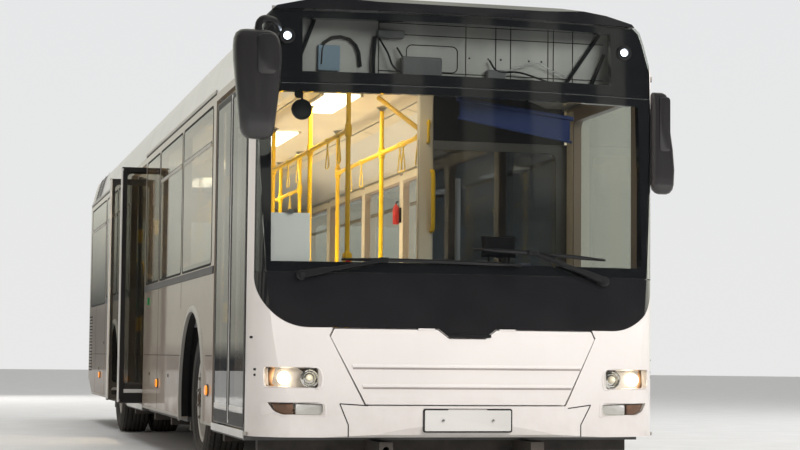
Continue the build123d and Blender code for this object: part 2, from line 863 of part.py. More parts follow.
def rear_rim_shape():
    """The left twin rims: two barrels, their discs face to face and the long hub."""
    inner_x = twin_outer_x - twin_spacing
    middle = (twin_outer_x + inner_x) / 2
    disc = [
        (middle - 34, rim_seat_radius - 36),
        (middle - 12, 190),
        (middle - 12, 120),
        (middle - 120, 110),
        (middle - 120, 52 + hub_play),
        (middle + 180, 52 + hub_play),
        (middle + 180, 40),
        (middle + 200, 40),
        (middle + 200, 96),
        (middle + 188, 110),
        (middle + 60, 122),
        (middle + 12, 124),
        (middle + 12, 190),
        (middle + 34, rim_seat_radius - 36),
        (middle + 114, rim_seat_radius - 36),
        (middle + 114, rim_seat_radius - 29),
        (middle - 114, rim_seat_radius - 29),
        (middle - 114, rim_seat_radius - 36),
    ]
    shape = ring_profile(rim_barrel(inner_x), rear_axle_y)
    shape += ring_profile(rim_barrel(twin_outer_x), rear_axle_y)
    shape += ring_profile(disc, rear_axle_y)
    return disc_holes(shape, middle - 60, middle + 60, rear_axle_y, 10, 215, 15)


def rear_axle_shape():
    """A portal axle: a low beam, a gear case at each end and a spindle per wheel."""
    case_x0 = box_inner_x + 3
    case_x1 = twin_outer_x - twin_spacing - tyre_width / 2 - 8
    shape = block(-case_x1, case_x1, rear_axle_y - 90, rear_axle_y + 90, axle_low_z, beam_low_z - fit)
    shape += rod_x(120, -120, 120, rear_axle_y, 205) & block(-120, 120, rear_axle_y - 130, rear_axle_y + 130, 100, frame_top_z - 5)
    for sign in (-1, 1):
        x0, x1 = sorted((sign * case_x0, sign * case_x1))
        shape += rod_x(130, x0, x1, rear_axle_y, hub_z)
        shape += block(x0, x1, rear_axle_y - 90, rear_axle_y + 90, axle_low_z, hub_z)
        s0, s1 = sorted((sign * case_x0, sign * (twin_outer_x + 20)))
        shape += rod_x(52, s0, s1, rear_axle_y, hub_z)
    return shape


front_axle = front_axle_shape()
knuckle = knuckle_shape()
front_rim = front_rim_shape()
rear_rim = rear_rim_shape()
front_tyre = tyre_shape(front_wheel_x, front_axle_y)
twin_tyres = [
    tyre_shape(twin_outer_x, rear_axle_y),
    tyre_shape(twin_outer_x - twin_spacing, rear_axle_y),
]
save("front_axle", front_axle)
save("rear_axle", rear_axle_shape())
save("knuckle_left", knuckle)
save("knuckle_right", mirrored(knuckle))
save("rim_front_left", front_rim)
save("rim_front_right", mirrored(front_rim))
save("rim_rear_left", rear_rim)
save("rim_rear_right", mirrored(rear_rim))
save("tyre_front_left", front_tyre)
save("tyre_front_right", mirrored(front_tyre))
save("tyre_rear_left", *twin_tyres)
save("tyre_rear_right", *[mirrored(tyre) for tyre in twin_tyres])

# Door leaves, their glass and their turning columns

column_x = -half + column_inset
leaf_out_x = -half + leaf_outer_inset
leaf_in_x = leaf_out_x + leaf_thick
pin_x = (leaf_out_x + leaf_in_x) / 2
arm_offset = column_x - pin_x
arm_reach = (portal_width / 2 - meeting_gap / 2 - column_from_post - edge_past_roller) / 2
arm_length = math.hypot(arm_reach, arm_offset)
leaf_from_post = column_from_post + arm_reach - arm_length + column_radius + sleeve + arm_gap
arm_levels = [
    (door_bottom_z - arm_gap - arm_thick, door_bottom_z - arm_gap),
    (leaf_top_z + arm_gap, leaf_top_z + arm_gap + arm_thick),
]
glass_set = 12
mid_rail_z = 492


def closed_leaf(post_y, toward):
    """A closed leaf's frame, glass, column and the two hinge places, hung at one door post."""
    start = post_y + toward * leaf_from_post
    end = post_y + toward * (portal_width / 2 - meeting_gap / 2)
    turn_y = post_y + toward * column_from_post
    pivot_y = turn_y + toward * arm_reach

    def span(a, b, x0, x1, z0, z1):
        """A box between two distances from the post side of the leaf."""
        y0, y1 = sorted((start + toward * a, start + toward * b))
        return block(x0, x1, y0, y1, z0, z1)

    width = abs(end - start)
    frame = span(0, width, leaf_out_x, leaf_in_x, door_bottom_z, leaf_top_z)
    y0, y1 = sorted((start + toward * stile, end - toward * stile))
    frame -= pane_x(y0, y1, mid_rail_z + 22, leaf_top_z - 55, 40, leaf_out_x - 5, leaf_in_x + 5)
    frame -= pane_x(y0, y1, door_bottom_z + 45, mid_rail_z - 22, 20, leaf_out_x - 5, leaf_in_x + 5)
    g0, g1 = sorted((start + toward * glass_set, end - toward * glass_set))
    frame -= pane_x(g0 - 2, g1 + 2, door_bottom_z + glass_set - 2, leaf_top_z - glass_set + 2, 22,
                    leaf_out_x - 5, leaf_out_x + glass_thick + fit)
    glass = pane_x(g0, g1, door_bottom_z + glass_set, leaf_top_z - glass_set, 20, leaf_out_x, leaf_out_x + glass_thick)
    column = rod_z(column_radius, column_x, turn_y, floor_z + fit, door_top_z + header_gap - fit)
    for z in (1060, 1890):
        column += rod_z(column_radius + sleeve, column_x, turn_y, z - 65, z + 65)
    lean = math.degrees(math.atan2(toward * arm_reach, -arm_offset))
    middle = ((column_x + pin_x) / 2, (turn_y + pivot_y) / 2)
    for z0, z1 in arm_levels:
        arm = Pos(middle[0], middle[1], (z0 + z1) / 2) * Rot(0, 0, lean) * Box(arm_length, arm_width, z1 - z0)
        arm += rod_z(arm_width / 2, pin_x, pivot_y, z0, z1)
        column += arm + rod_z(column_radius + sleeve, column_x, turn_y, z0, z1)
        column -= rod_z(pin_radius + pin_play, pin_x, pivot_y, z0 - 5, z1 + 5)
    frame += rod_z(pin_radius, pin_x, pivot_y, arm_levels[0][0], door_bottom_z + 20)
    frame += rod_z(pin_radius, pin_x, pivot_y, leaf_top_z - 20, arm_levels[1][1])
    rail_y = end - toward * (stile / 2)
    rail_x_at = leaf_in_x + 45
    handle = rod_z(rail_tube, rail_x_at, rail_y, 780, 2170)
    for z in (800, 2150):
        handle += rod_x(rail_tube - 4, leaf_in_x - 5, rail_x_at, rail_y, z)
    frame += handle
    return frame, glass, column, turn_y, pivot_y


def opened(shape, turn_y, pivot_y, toward):
    """A closed leaf's piece moved to where the arm holds it open."""
    back = Pos(-pin_x, -pivot_y, 0) * shape
    return Pos(column_x + arm_reach, turn_y + toward * arm_offset, 0) * Rot(0, 0, toward * 90) * back


def swung(shape, turn_y, toward):
    """A column turned to the open position about its own axis."""
    back = Pos(-column_x, -turn_y, 0) * shape
    return Pos(column_x, turn_y, 0) * Rot(0, 0, -toward * 90) * back


door_posts = {
    "door_front_a": (along(front_portal_y), 1, False),
    "door_front_b": (along(front_portal_y + portal_width), -1, False),
    "door_middle_a": (along(middle_portal_y), 1, True),
    "door_middle_b": (along(middle_portal_y + portal_width), -1, True),
}
for name, (post_y, toward, stands_open) in door_posts.items():
    leaf, glass, column, turn_y, pivot_y = closed_leaf(post_y, toward)
    if stands_open:
        leaf = opened(leaf, turn_y, pivot_y, toward)
        glass = opened(glass, turn_y, pivot_y, toward)
        column = swung(column, turn_y, toward)
    save(f"{name}_leaf", leaf)
    save(f"{name}_glass", glass)
    save(f"{name}_column", column)

# Driver's place

wheel_centre = (640, along(680), 1200)
dash_section = [
    (along(60), floor_z + fit),
    (along(60), 1130),
    (along(150), 1200),
    (along(330), 1220),
    (along(560), 1130),
    (along(600), 1060),
    (along(560), 1010),
    (along(440), 960),
    (along(360), 700),
    (along(360), floor_z + fit),
]
dash_room = front_envelope(wall + 2)
shelf = (prism_x(dash_section, -560, 60 - fit) & dash_room) & slab(0, 3000)
shelf -= prism_x([(along(361), 0), (along(361), 2000), (along(900), 2000), (along(900), 0)], -600, 60)
dash = prism_x(dash_section, 60, inside) & dash_room
hood = prism_x(
    [(along(300), 1150), (along(360), 1290), (along(470), 1285), (along(590), 1120), (along(500), 1050)],
    wheel_centre[0] - 260, wheel_centre[0] + 260,
)
dash += hood
tilt = Plane(origin=wheel_centre, x_dir=(1, 0, 0), z_dir=(0, 0.55, 0.835))
steering = tilt * (Torus(225, 16) + Cylinder(50, 40))
for turn in (90, 210, 330):
    spoke = Rot(0, 0, turn) * (Pos(120, 0, 0) * Box(190, 34, 14))
    steering += tilt * spoke
steering += tilt * (Pos(0, 0, -150) * Cylinder(32, 300))
save("cockpit", dash + (steering - dash), shelf)


def driver_seat_shape(x, y):
    """A sprung driver's seat: plinth, cushion, backrest and head restraint."""
    base = block(x - 170, x + 170, y - 170, y + 190, floor_z + fit, floor_z + 70)
    base += block(x - 110, x + 110, y - 110, y + 110, floor_z + 60, floor_z + 330)
    cushion = fillet(block(x - 245, x + 245, y - 250, y + 230, floor_z + 320, floor_z + 440).edges(), 34)
    back = prism_x(
        [(y + 170, floor_z + 400), (y + 270, floor_z + 380), (y + 390, 1340), (y + 380, 1440), (y + 310, 1440), (y + 290, 1340)],
        x - 235, x + 235,
    )
    head = fillet(block(x - 130, x + 130, y + 310, y + 390, 1445, 1600).edges(), 24)
    back += rod_z(9, x - 70, y + 350, 1430, 1500) + rod_z(9, x + 70, y + 350, 1430, 1500)
    return base + cushion + back + head


save("driver_seat", driver_seat_shape(wheel_centre[0], along(1150)))

# Cab partition behind and beside the driver
cab_rear_y = 1700
cab_side_x = 130
cab_top_z = 2250
cab = block(cab_side_x, inside - fit, along(cab_rear_y), along(cab_rear_y + 25), floor_z + fit, cab_top_z)
cab -= pane_y(cab_side_x + 60, inside - 80, 1350, cab_top_z - 60, 50, along(cab_rear_y) - 5, along(cab_rear_y + 30))
cab += block(cab_side_x, cab_side_x + 25, along(760), along(cab_rear_y + 25), floor_z + fit, 1280)
cab += rod_z(pole, cab_side_x + 12, along(760), floor_z + fit, 1900)
save("cab_partition", cab)

# Seats: shell, cushion and a tube frame on a leg, in pairs across the bus

seat_width = 430
seat_pitch = 440


def seat_panels(sign, y, z):
    """A seat's pan and back in side view as (y, z) points; sign +1 faces forward."""
    pan = [(-230, 398), (-224, 430), (176.1, 416), (183.1, 388)]
    back = [(184, 386), (176, 418), (285, 905), (320, 900), (236, 425)]
    return [[(y + sign * py, z + pz) for py, pz in shape] for shape in (pan, back)]


def seat_pair(x, y, z, sign, count):
    """A row of seats on one beam with a floor leg at each end."""
    reach = seat_pitch * count / 2
    pieces = [block(x - reach + 20, x + reach - 20, y - 20, y + 20, z + 340, z + 391.5)]
    for leg_x in (x - reach + 90, x + reach - 90):
        pieces.append(block(leg_x - 25, leg_x + 25, y - 60, y + 60, z + fit, z + 340 - fit))
    for i in range(count):
        sx = x - reach + seat_pitch * (i + 0.5)
        for panel in seat_panels(sign, y, z):
            pieces.append(prism_x(panel, sx - seat_width / 2, sx + seat_width / 2))
    return pieces


left_x = inside - 10 - seat_pitch
# Seat rows: centre x, place along the bus, floor height, facing, seats
seat_rows = [
    (left_x, 3650, floor_z, 1, 2),
    (left_x, 4430, floor_z, 1, 2),
    (left_x, 5210, floor_z, 1, 2),
    (left_x, 5990, floor_z, 1, 2),
    (-left_x, 3650, floor_z, 1, 2),
    (-left_x, 4430, floor_z, 1, 2),
    (-left_x, 5210, floor_z, 1, 2),
    (left_x, 10420, deck_z, 1, 2),
    (-left_x, 10420, deck_z, 1, 2),
    (left_x, 11000, deck_z, -1, 2),
    (0, 11470, deck_z, 1, 5),
]
seats = []
for x, y, z, sign, count in seat_rows:
    seats += seat_pair(x, along(bay(y)), z, sign, count)
save("passenger_seats", *seats)

# Handrails: floor-to-ceiling poles and two rails along the ceiling

rail_z = ceiling_z - 360
rail_at_x = 280


def ceiling_at(x):
    """The ceiling's height at a distance from the middle."""
    return ceiling_z + ceiling_crown * (1 - abs(x) / coving_x)


# Poles: x, place along the bus
poles = [
    (280, 3400),
    (280, 5000),
    (280, 6700),
    (280, 7700),
    (280, 9430),
    (-280, 2050),
    (-280, 3400),
    (-280, 4980),
    (-280, 7500),
    (-280, 9430),
]
# Rails between poles: x, front pole, rear pole
overhead = [
    (280, 2150, 3400),
    (280, 3400, 5000),
    (280, 6700, 7700),
    (280, 7700, 9430),
    (-280, 2050, 3400),
    (-280, 3400, 4980),
    (-280, 7500, 9430),
]
rails = []
for x, y in poles:
    rails.append(rod_z(pole, x, along(bay(y)), floor_z + fit, ceiling_at(x) - 3))
for x, y0, y1 in overhead:
    rails.append(rod_y(pole, x, along(bay(y0)) + pole + fit, along(bay(y1)) - pole - fit, rail_z))


def strut(start, end, radius):
    """A round bar between two points."""
    line = end - start
    plane = Plane(origin=start, z_dir=line.normalized())
    return extrude(plane * Circle(radius), amount=line.length)


# The first stanchion stands upright to the rail's height and leans back to the ceiling
bend = Vector(rail_at_x, along(bay(2150)), rail_z - 6)
crank_top = Vector(120, along(bay(2840)), ceiling_at(120) - 22)
rails.append(rod_z(pole, bend.X, bend.Y, floor_z + fit, bend.Z - pole))
rails.append(strut(bend + Vector(0, 0, pole + 6), crank_top, pole) + Pos(bend + Vector(0, 0, pole + 6)) * Sphere(pole))
save("handrails", *rails)

# Mirrors: a tall head on an arm from each front corner


def mirror_head(x0, x1, y0, y1, z0, z1):
    """A mirror housing with rounded corners."""
    return fillet(pane_y(x0, x1, z0, z1, 60, y0, y1).edges().filter_by(GeomType.LINE, reverse=True), 12)


kerb_head_y = along(-mirror_forward_reach)
mirror_gear = mirror_head(-mirror_side_reach, -1175, kerb_head_y, kerb_head_y + 130, roof_height - 960, roof_height - 340)
arm_z = roof_height - 260
arm_foot = face_y(1130, arm_z)
mirror_gear += rod_z(17, -1300, kerb_head_y + 65, arm_z - 120, arm_z - 20)
arm_start = Vector(-1300, kerb_head_y + 65, arm_z - 30)
arm_end = Vector(-1130, arm_foot - 30, arm_z)

mirror_gear += strut(arm_start, arm_end, 17) + Pos(arm_start) * Sphere(17) + Pos(arm_end) * Sphere(17)
mirror_gear += rod_y(24, -1130, arm_foot - 36, arm_foot + 25, arm_z) - front_envelope(-fit)
off_head = mirror_head(half + 12, mirror_side_reach, along(285), along(385), roof_height - 1140, roof_height - 500)
for z in (roof_height - 1040, roof_height - 600):
    off_head += rod_x(14, half - 120, half + 30, along(345), z) - front_envelope(-fit)
save("mirrors", mirror_gear, off_head)

# Wipers: a spindle, an arm and a blade for each half of the screen


def front_shell(near, far):
    """The room between two distances in front of the face."""
    return front_envelope(-far) - front_envelope(-near)


def bar_between(x0, z0, x1, z1, width):
    """A straight strip seen head on, deep enough to cut a shell."""
    length = math.hypot(x1 - x0, z1 - z0)
    lean = math.degrees(math.atan2(z1 - z0, x1 - x0))
    strip = Pos((x0 + x1) / 2, (z0 + z1) / 2) * Rot(0, 0, lean) * Rectangle(length, width)
    return sweep_y(strip, front_y - 80, front_y + 320)


blade_shell = front_shell(9, 26)
arm_shell = front_shell(24, 42)
# Wipers: spindle x and z, arm tip x and z, blade ends
wiper_rows = [
    (-970, 1250, -500, 1330, -740, 1345, 330, 1330),
    (870, 1245, 400, 1375, 40, 1420, 870, 1375),
]
wipers = []
for x, z, tip_x, tip_z, bx0, bz0, bx1, bz1 in wiper_rows:
    y = face_y(abs(x) - 16, z)
    blade_z = bz0 + (bz1 - bz0) * (tip_x - bx0) / (bx1 - bx0)
    piece = bar_between(bx0, bz0, bx1, bz1, 14) & blade_shell
    piece += bar_between(x, z, tip_x, blade_z, 22) & arm_shell
    piece += bar_between(tip_x - 26, blade_z, tip_x + 26, blade_z, 26) & front_shell(14, 42)
    piece += rod_y(16, x, y - 46, y + 20, z) - front_envelope(-fit)
    wipers.append(piece)
save("wipers", *wipers)
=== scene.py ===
import math

import bmesh
import bpy
from mathutils import Matrix, Vector


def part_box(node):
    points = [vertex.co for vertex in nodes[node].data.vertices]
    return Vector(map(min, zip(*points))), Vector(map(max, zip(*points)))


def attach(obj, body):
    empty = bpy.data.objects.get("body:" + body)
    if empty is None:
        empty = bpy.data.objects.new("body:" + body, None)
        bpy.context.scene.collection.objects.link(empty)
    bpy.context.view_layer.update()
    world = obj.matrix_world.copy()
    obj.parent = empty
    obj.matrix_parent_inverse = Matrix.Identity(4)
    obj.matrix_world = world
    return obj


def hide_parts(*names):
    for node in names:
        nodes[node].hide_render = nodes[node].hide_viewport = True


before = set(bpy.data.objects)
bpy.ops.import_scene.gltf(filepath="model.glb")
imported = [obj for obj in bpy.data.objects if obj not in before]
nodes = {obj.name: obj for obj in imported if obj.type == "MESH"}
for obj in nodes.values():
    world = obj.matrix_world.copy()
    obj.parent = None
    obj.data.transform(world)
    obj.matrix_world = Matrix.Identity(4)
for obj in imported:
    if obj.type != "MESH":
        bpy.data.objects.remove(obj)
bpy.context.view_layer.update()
scene = bpy.context.scene

# Sizes of the bus, in metres, as the part's source gives them
FRONT = -5.825
REAR = FRONT + 11.98
HALF = 1.25
BOW = 6.0
CORNER = 0.28
LEAN = math.radians(4)
LEAN_START = 0.55
GUTTER = 2.5
SKIRT = 0.32
FLOOR = 0.33
DECK = 0.9
WHEEL_Z = 0.478
FRONT_AXLE = FRONT + 2.7
REAR_AXLE = FRONT_AXLE + 5.875
RAIL_Z = 2.34
PORTALS = (0.39, 5.86)
PORTAL = 1.292
PANE_TOP = 2.44
KERB_PANES = [(1.812, 3.32, 1.38), (3.38, 4.762, 1.38), (4.822, 5.77, 1.38), (7.255, 8.425, 1.38),
              (8.485, 9.655, 1.38), (9.75, 11.56, 1.32)]
DRIVER_PANES = [(0.45, 1.6, 1.15), (1.66, 3.32, 1.38), (3.38, 4.762, 1.38), (4.822, 6.35, 1.38),
                (6.41, 7.94, 1.38), (8.0, 9.655, 1.38), (9.75, 11.56, 1.32)]
SIDES = ((-1, KERB_PANES), (1, DRIVER_PANES))
DOORS = ("front_a", "front_b", "middle_a", "middle_b")


# Shorthand for shader trees

class Sheet:
    """A node tree with short calls for adding nodes and wiring them."""

    def __init__(self, tree):
        self.tree = tree
        self.nodes = tree.nodes

    def wire(self, value, socket):
        if isinstance(value, bpy.types.NodeSocket):
            self.tree.links.new(value, socket)
        else:
            socket.default_value = value

    def add(self, kind, wires=None, **settings):
        node = self.nodes.new("ShaderNode" + kind)
        for key, value in settings.items():
            setattr(node, key, value)
        for key, value in (wires or {}).items():
            self.wire(value, node.inputs[key])
        return node

    def maths(self, operation, a, b=0.0, clamp=False):
        return self.add("Math", {0: a, 1: b}, operation=operation, use_clamp=clamp).outputs[0]

    def times(self, a, b, clamp=False):
        return self.maths("MULTIPLY", a, b, clamp)

    def plus(self, a, b, clamp=False):
        return self.maths("ADD", a, b, clamp)

    def blend(self, share, a, b):
        return self.add("Mix", {0: share, 6: a, 7: b}, data_type="RGBA").outputs[2]

    def spread(self, value, low, high, to_low=0.0, to_high=1.0):
        return self.add("MapRange", {0: value, 1: low, 2: high, 3: to_low, 4: to_high}).outputs[0]

    def noise(self, where, scale, detail=3.0, rough=0.5):
        return self.add("TexNoise", {"Vector": where, "Scale": scale, "Detail": detail,
                                     "Roughness": rough}).outputs[0]

    def grouped(self, tree, place, **values):
        """One of the shared groups; an underscore in a value's name stands for a space."""
        wires = {"Place": place}
        wires.update((key.replace("_", " "), value) for key, value in values.items())
        return self.add("Group", wires, node_tree=tree).outputs


def shader_group(name, values, results):
    """A shader node group that takes a place and numbers; gives its sheet, inputs and outputs."""
    tree = bpy.data.node_groups.new(name, "ShaderNodeTree")
    tree.interface.new_socket("Place", in_out="INPUT", socket_type="NodeSocketVector")
    for title, value in values.items():
        tree.interface.new_socket(title, in_out="INPUT", socket_type="NodeSocketFloat").default_value = value
    for title in results:
        tree.interface.new_socket(title, in_out="OUTPUT", socket_type="NodeSocketFloat")
    sheet = Sheet(tree)
    return sheet, sheet.nodes.new("NodeGroupInput").outputs, sheet.nodes.new("NodeGroupOutput").inputs


def make_road_film():
    """Dust and dried spray that thin out with height, with run-down streaks."""
    values = {"Clean above": 1.2, "Amount": 0.5, "Streaks": 0.4}
    sheet, given, made = shader_group("road_film", values, ["Film"])
    place = given["Place"]
    height = sheet.add("SeparateXYZ", {0: place}).outputs[2]
    low = sheet.maths("POWER", sheet.spread(height, given["Clean above"], 0.25), 1.7)
    patches = sheet.spread(sheet.noise(place, 5.0, 5.0, 0.6), 0.3, 0.75)
    stretched = sheet.add("Mapping", {0: place, 3: (9.0, 9.0, 0.55)}).outputs[0]
    streaks = sheet.times(sheet.spread(sheet.noise(stretched, 3.0, 4.0, 0.62), 0.52, 0.8), given["Streaks"])
    film = sheet.plus(sheet.times(low, sheet.plus(patches, 0.35)), streaks)
    sheet.wire(sheet.times(film, given["Amount"], clamp=True), made["Film"])
    return sheet.tree


def make_fine_grain():
    """Small grain for bump and a slow drift for colour and gloss."""
    sheet, given, made = shader_group("fine_grain", {"Scale": 300.0, "Drift scale": 2.5},
                                      ["Grain", "Drift", "Smears"])
    place = given["Place"]
    sheet.wire(sheet.noise(place, given["Scale"], 2.0), made["Grain"])
    sheet.wire(sheet.spread(sheet.noise(place, given["Drift scale"], 4.0), 0.3, 0.7), made["Drift"])
    bent = sheet.add("Mapping", {0: place, 2: (0.3, 0.5, 0.9), 3: (2.0, 14.0, 3.0)}).outputs[0]
    sheet.wire(sheet.spread(sheet.noise(bent, 4.0, 5.0, 0.65), 0.5, 0.78), made["Smears"])
    return sheet.tree


def make_worn_edges():
    """Where rounded corners catch wear, broken up so that it isn't an even line."""
    sheet, given, made = shader_group("worn_edges", {"Reach": 0.006, "Amount": 0.5}, ["Wear"])
    bent = sheet.add("Bevel", {"Radius": given["Reach"]}, samples=4).outputs[0]
    plain = sheet.add("NewGeometry").outputs["Normal"]
    same = sheet.add("VectorMath", {0: bent, 1: plain}, operation="DOT_PRODUCT").outputs["Value"]
    edge = sheet.spread(same, 0.995, 0.86)
    broken = sheet.spread(sheet.noise(given["Place"], 38.0, 4.0, 0.7), 0.42, 0.62)
    sheet.wire(sheet.times(sheet.times(edge, broken), given["Amount"], clamp=True), made["Wear"])
    return sheet.tree


def make_weave():
    """Plain-woven cloth: threads over and under, with a fleck."""
    sheet, given, made = shader_group("seat_weave", {"Threads": 420.0}, ["Height", "Fleck"])
    across, level, upright = [
        sheet.add("TexWave", {"Vector": given["Place"], "Scale": given["Threads"]},
                  bands_direction=way).outputs[1]
        for way in "XYZ"]
    sheet.wire(sheet.times(across, sheet.maths("MAXIMUM", level, upright)), made["Height"])
    sheet.wire(sheet.spread(sheet.noise(given["Place"], 160.0, 2.0), 0.55, 0.7), made["Fleck"])
    return sheet.tree


ROAD_FILM = make_road_film()
FINE_GRAIN = make_fine_grain()
WORN_EDGES = make_worn_edges()
WEAVE = make_weave()
FINISH = {}
SLOT = {}


def tone(colour, factor=1.0):
    """A colour made darker or lighter, with alpha for a socket."""
    return tuple(min(c * factor, 1.0) for c in colour[:3]) + (1.0,)


def new_finish(name, slot):
    """A material, kept with the slot of what wears it; gives its sheet, its shader's sockets and a place."""
    made = FINISH[name] = bpy.data.materials.new(name)
    SLOT[name] = slot
    made.use_nodes = True
    sheet = Sheet(made.node_tree)
    return sheet, sheet.nodes["Principled BSDF"].inputs, sheet.add("TexCoord").outputs["Object"]


def road_dust(sheet, place, film):
    """Road film on a finish, from the height where it ends, its amount and its streaks."""
    return sheet.grouped(ROAD_FILM, place, Clean_above=film[0], Amount=film[1], Streaks=film[2])["Film"]


def surface(name, slot, colour, rough, metal=0.0, coat=0.0, grain=300.0, bump=0.0, drift=0.12, film=None,
            film_colour=(0.26, 0.22, 0.18), wear=0.0, wear_colour=(0.45, 0.45, 0.45), smear=0.12, glow=None,
            weave=0.0, fleck=(0.3, 0.3, 0.32)):
    """A finish: drifting colour, fine grain, smears in the gloss, and dust or worn edges where asked."""
    sheet, socket, place = new_finish(name, slot)
    small = sheet.grouped(FINE_GRAIN, place, Scale=grain)
    tint = sheet.blend(small["Drift"], tone(colour, 1 - drift), tone(colour, 1 + drift * 0.5))
    gloss = sheet.spread(small["Smears"], 0.0, 1.0, rough, min(rough + smear, 1.0))
    height = small["Grain"]
    if weave:
        cloth = sheet.grouped(WEAVE, place, Threads=weave)
        height = cloth["Height"]
        tint = sheet.blend(cloth["Fleck"], tint, tone(fleck))
        sheet.wire(0.3, socket["Sheen Weight"])
    if wear:
        tint = sheet.blend(sheet.grouped(WORN_EDGES, place, Amount=wear)["Wear"], tint, tone(wear_colour))
    if film:
        dust = road_dust(sheet, place, film)
        tint = sheet.blend(dust, tint, tone(film_colour))
        gloss = sheet.plus(gloss, sheet.times(dust, 0.45), clamp=True)
    if coat:
        sheet.wire(sheet.spread(dust, 0.0, 0.6, coat, 0.05) if film else coat, socket["Coat Weight"])
    sheet.wire(tint, socket["Base Color"])
    sheet.wire(gloss, socket["Roughness"])
    sheet.wire(metal, socket["Metallic"])
    sheet.wire(0.05, socket["Coat Roughness"])
    if bump:
        raised = sheet.add("Bump", {"Height": height, "Distance": bump, "Strength": 1.0})
        sheet.wire(raised.outputs[0], socket["Normal"])
    if glow:
        light, strength = glow
        sheet.wire(sheet.blend(small["Drift"], tone(light, 0.85), tone(light)), socket["Emission Color"])
        sheet.wire(strength, socket["Emission Strength"])
    return sheet, socket


def pane_glass(name, colour, rough=0.0, cloud=0.03, film=None):
    """Glass that lets lamps and daylight through, with a faint bloom of dust."""
    sheet, socket, place = new_finish(name, "clear_glass")
    small = sheet.grouped(FINE_GRAIN, place, Scale=60.0, Drift_scale=1.2)
    tint = sheet.blend(small["Drift"], tone(colour, 0.94), tone(colour))
    gloss = sheet.spread(small["Smears"], 0.0, 1.0, rough, rough + cloud)
    if film:
        gloss = sheet.plus(gloss, sheet.times(road_dust(sheet, place, film), 0.3), clamp=True)
    sheet.wire(tint, socket["Base Color"])
    sheet.wire(gloss, socket["Roughness"])
    sheet.wire(1.0, socket["Transmission Weight"])
    sheet.wire(1.45, socket["IOR"])
    clear = sheet.add("BsdfTransparent", {0: tone(colour, 0.97)})
    shadow = sheet.add("LightPath").outputs["Is Shadow Ray"]
    both = sheet.add("MixShader", {0: shadow, 1: sheet.nodes["Principled BSDF"].outputs[0],
                                   2: clear.outputs[0]})
    sheet.wire(both.outputs[0], sheet.nodes["Material Output"].inputs["Surface"])


def lamp_bowl_painted_glow(name, hot, edge, dark, centre, reach, strength):
    """A lamp's reflector with a painted glow: emission brightest round its bulb, standing in for the bulb's light
    on the metal, fading to bare dark metal.
    """
    sheet, socket = surface(name, "housing_black", dark, 0.3, metal=0.6, grain=90, bump=0.002, drift=0.5)
    parts = sheet.add("SeparateXYZ", {0: sheet.add("TexCoord").outputs["Object"]})
    across = sheet.maths("SUBTRACT", sheet.maths("ABSOLUTE", parts.outputs[0]), centre[0])
    upward = sheet.maths("SUBTRACT", parts.outputs[2], centre[1])
    far = sheet.maths("SQRT", sheet.plus(sheet.times(across, across), sheet.times(upward, upward)))
    # Painted glow: strongest round the bulb, fading with distance from it
    near = sheet.maths("POWER", sheet.spread(far, 0.0, reach, 1.0, 0.0), 1.8)
    sheet.wire(sheet.blend(near, tone(edge), tone(hot)), socket["Emission Color"])
    sheet.wire(sheet.times(near, strength), socket["Emission Strength"])


surface("mask_white", "body_paint", (0.83, 0.79, 0.76), 0.3, coat=0.7, grain=120, drift=0.03, smear=0.1,
        film=(0.95, 0.35, 0.05))
# Painted shade: the sides are the front's white paint, given as a darker taupe copy for the shade on them; its
# road film darkens it further towards the bottom
surface("side_paint_painted_shade", "body_paint", (0.40, 0.33, 0.265), 0.3, coat=0.8, drift=0.05, smear=0.08,
        film=(1.1, 0.6, 0.12), film_colour=(0.16, 0.12, 0.09))
# Painted shade: the rear wall and engine lid in a darker copy of the white body paint
surface("rear_paint_painted_shade", "body_paint", (0.52, 0.46, 0.39), 0.3, coat=0.8, drift=0.05, smear=0.08,
        film=(1.3, 0.8, 0.12))
surface("roof_paint", "body_paint", (0.76, 0.76, 0.74), 0.35, coat=0.5, drift=0.06, film=(2.0, 0.2, 0.25))
surface("gloss_black", "dash_plastic", (0.012, 0.012, 0.014), 0.1, coat=1.0, drift=0.2,
        film=(1.5, 0.09, 0.04))
surface("satin_black", "housing_black", (0.011, 0.011, 0.012), 0.42, grain=500, bump=0.0002, wear=0.25,
        wear_colour=(0.12, 0.12, 0.12))
surface("door_rubber", "door_frame", (0.014, 0.013, 0.014), 0.5, grain=600, bump=0.0003)
surface("seam_dark", "black_panel", (0.012, 0.011, 0.01), 0.8, drift=0.3)
surface("alu", "column_steel", (0.62, 0.62, 0.61), 0.34, metal=1.0, grain=900, bump=0.0001,
        film=(0.8, 0.3, 0.05))
surface("chrome", "clear_glass", (0.86, 0.85, 0.83), 0.07, metal=1.0, drift=0.04, smear=0.08)
surface("leaf_black", "door_frame", (0.022, 0.022, 0.024), 0.34, coat=0.3, wear=0.35,
        wear_colour=(0.42, 0.42, 0.4), film=(0.9, 0.35, 0.05))
surface("column_grey", "column_steel", (0.2, 0.2, 0.205), 0.4, metal=0.4, wear=0.4)
surface("rail_yellow", "rail_yellow", (0.82, 0.52, 0.02), 0.34, coat=0.4, grain=600, bump=0.0001, wear=0.25,
        wear_colour=(0.6, 0.5, 0.2))
surface("dash_grey", "dash_plastic", (0.035, 0.036, 0.04), 0.58, grain=650, bump=0.0006, wear=0.2)
surface("cab_grey", "cab_panel", (0.16, 0.165, 0.17), 0.5, grain=700, bump=0.0004)
surface("liner_cream", "cab_panel", (0.68, 0.62, 0.5), 0.5, grain=420, bump=0.0003, drift=0.08)
surface("steel_panel", "cab_panel", (0.44, 0.43, 0.41), 0.45, metal=0.1, grain=260, bump=0.0003, drift=0.2)
surface("floor_cover", "floor_cover", (0.12, 0.125, 0.13), 0.55, grain=180, bump=0.0008, drift=0.25,
        film=(0.9, 0.2, 0.0))
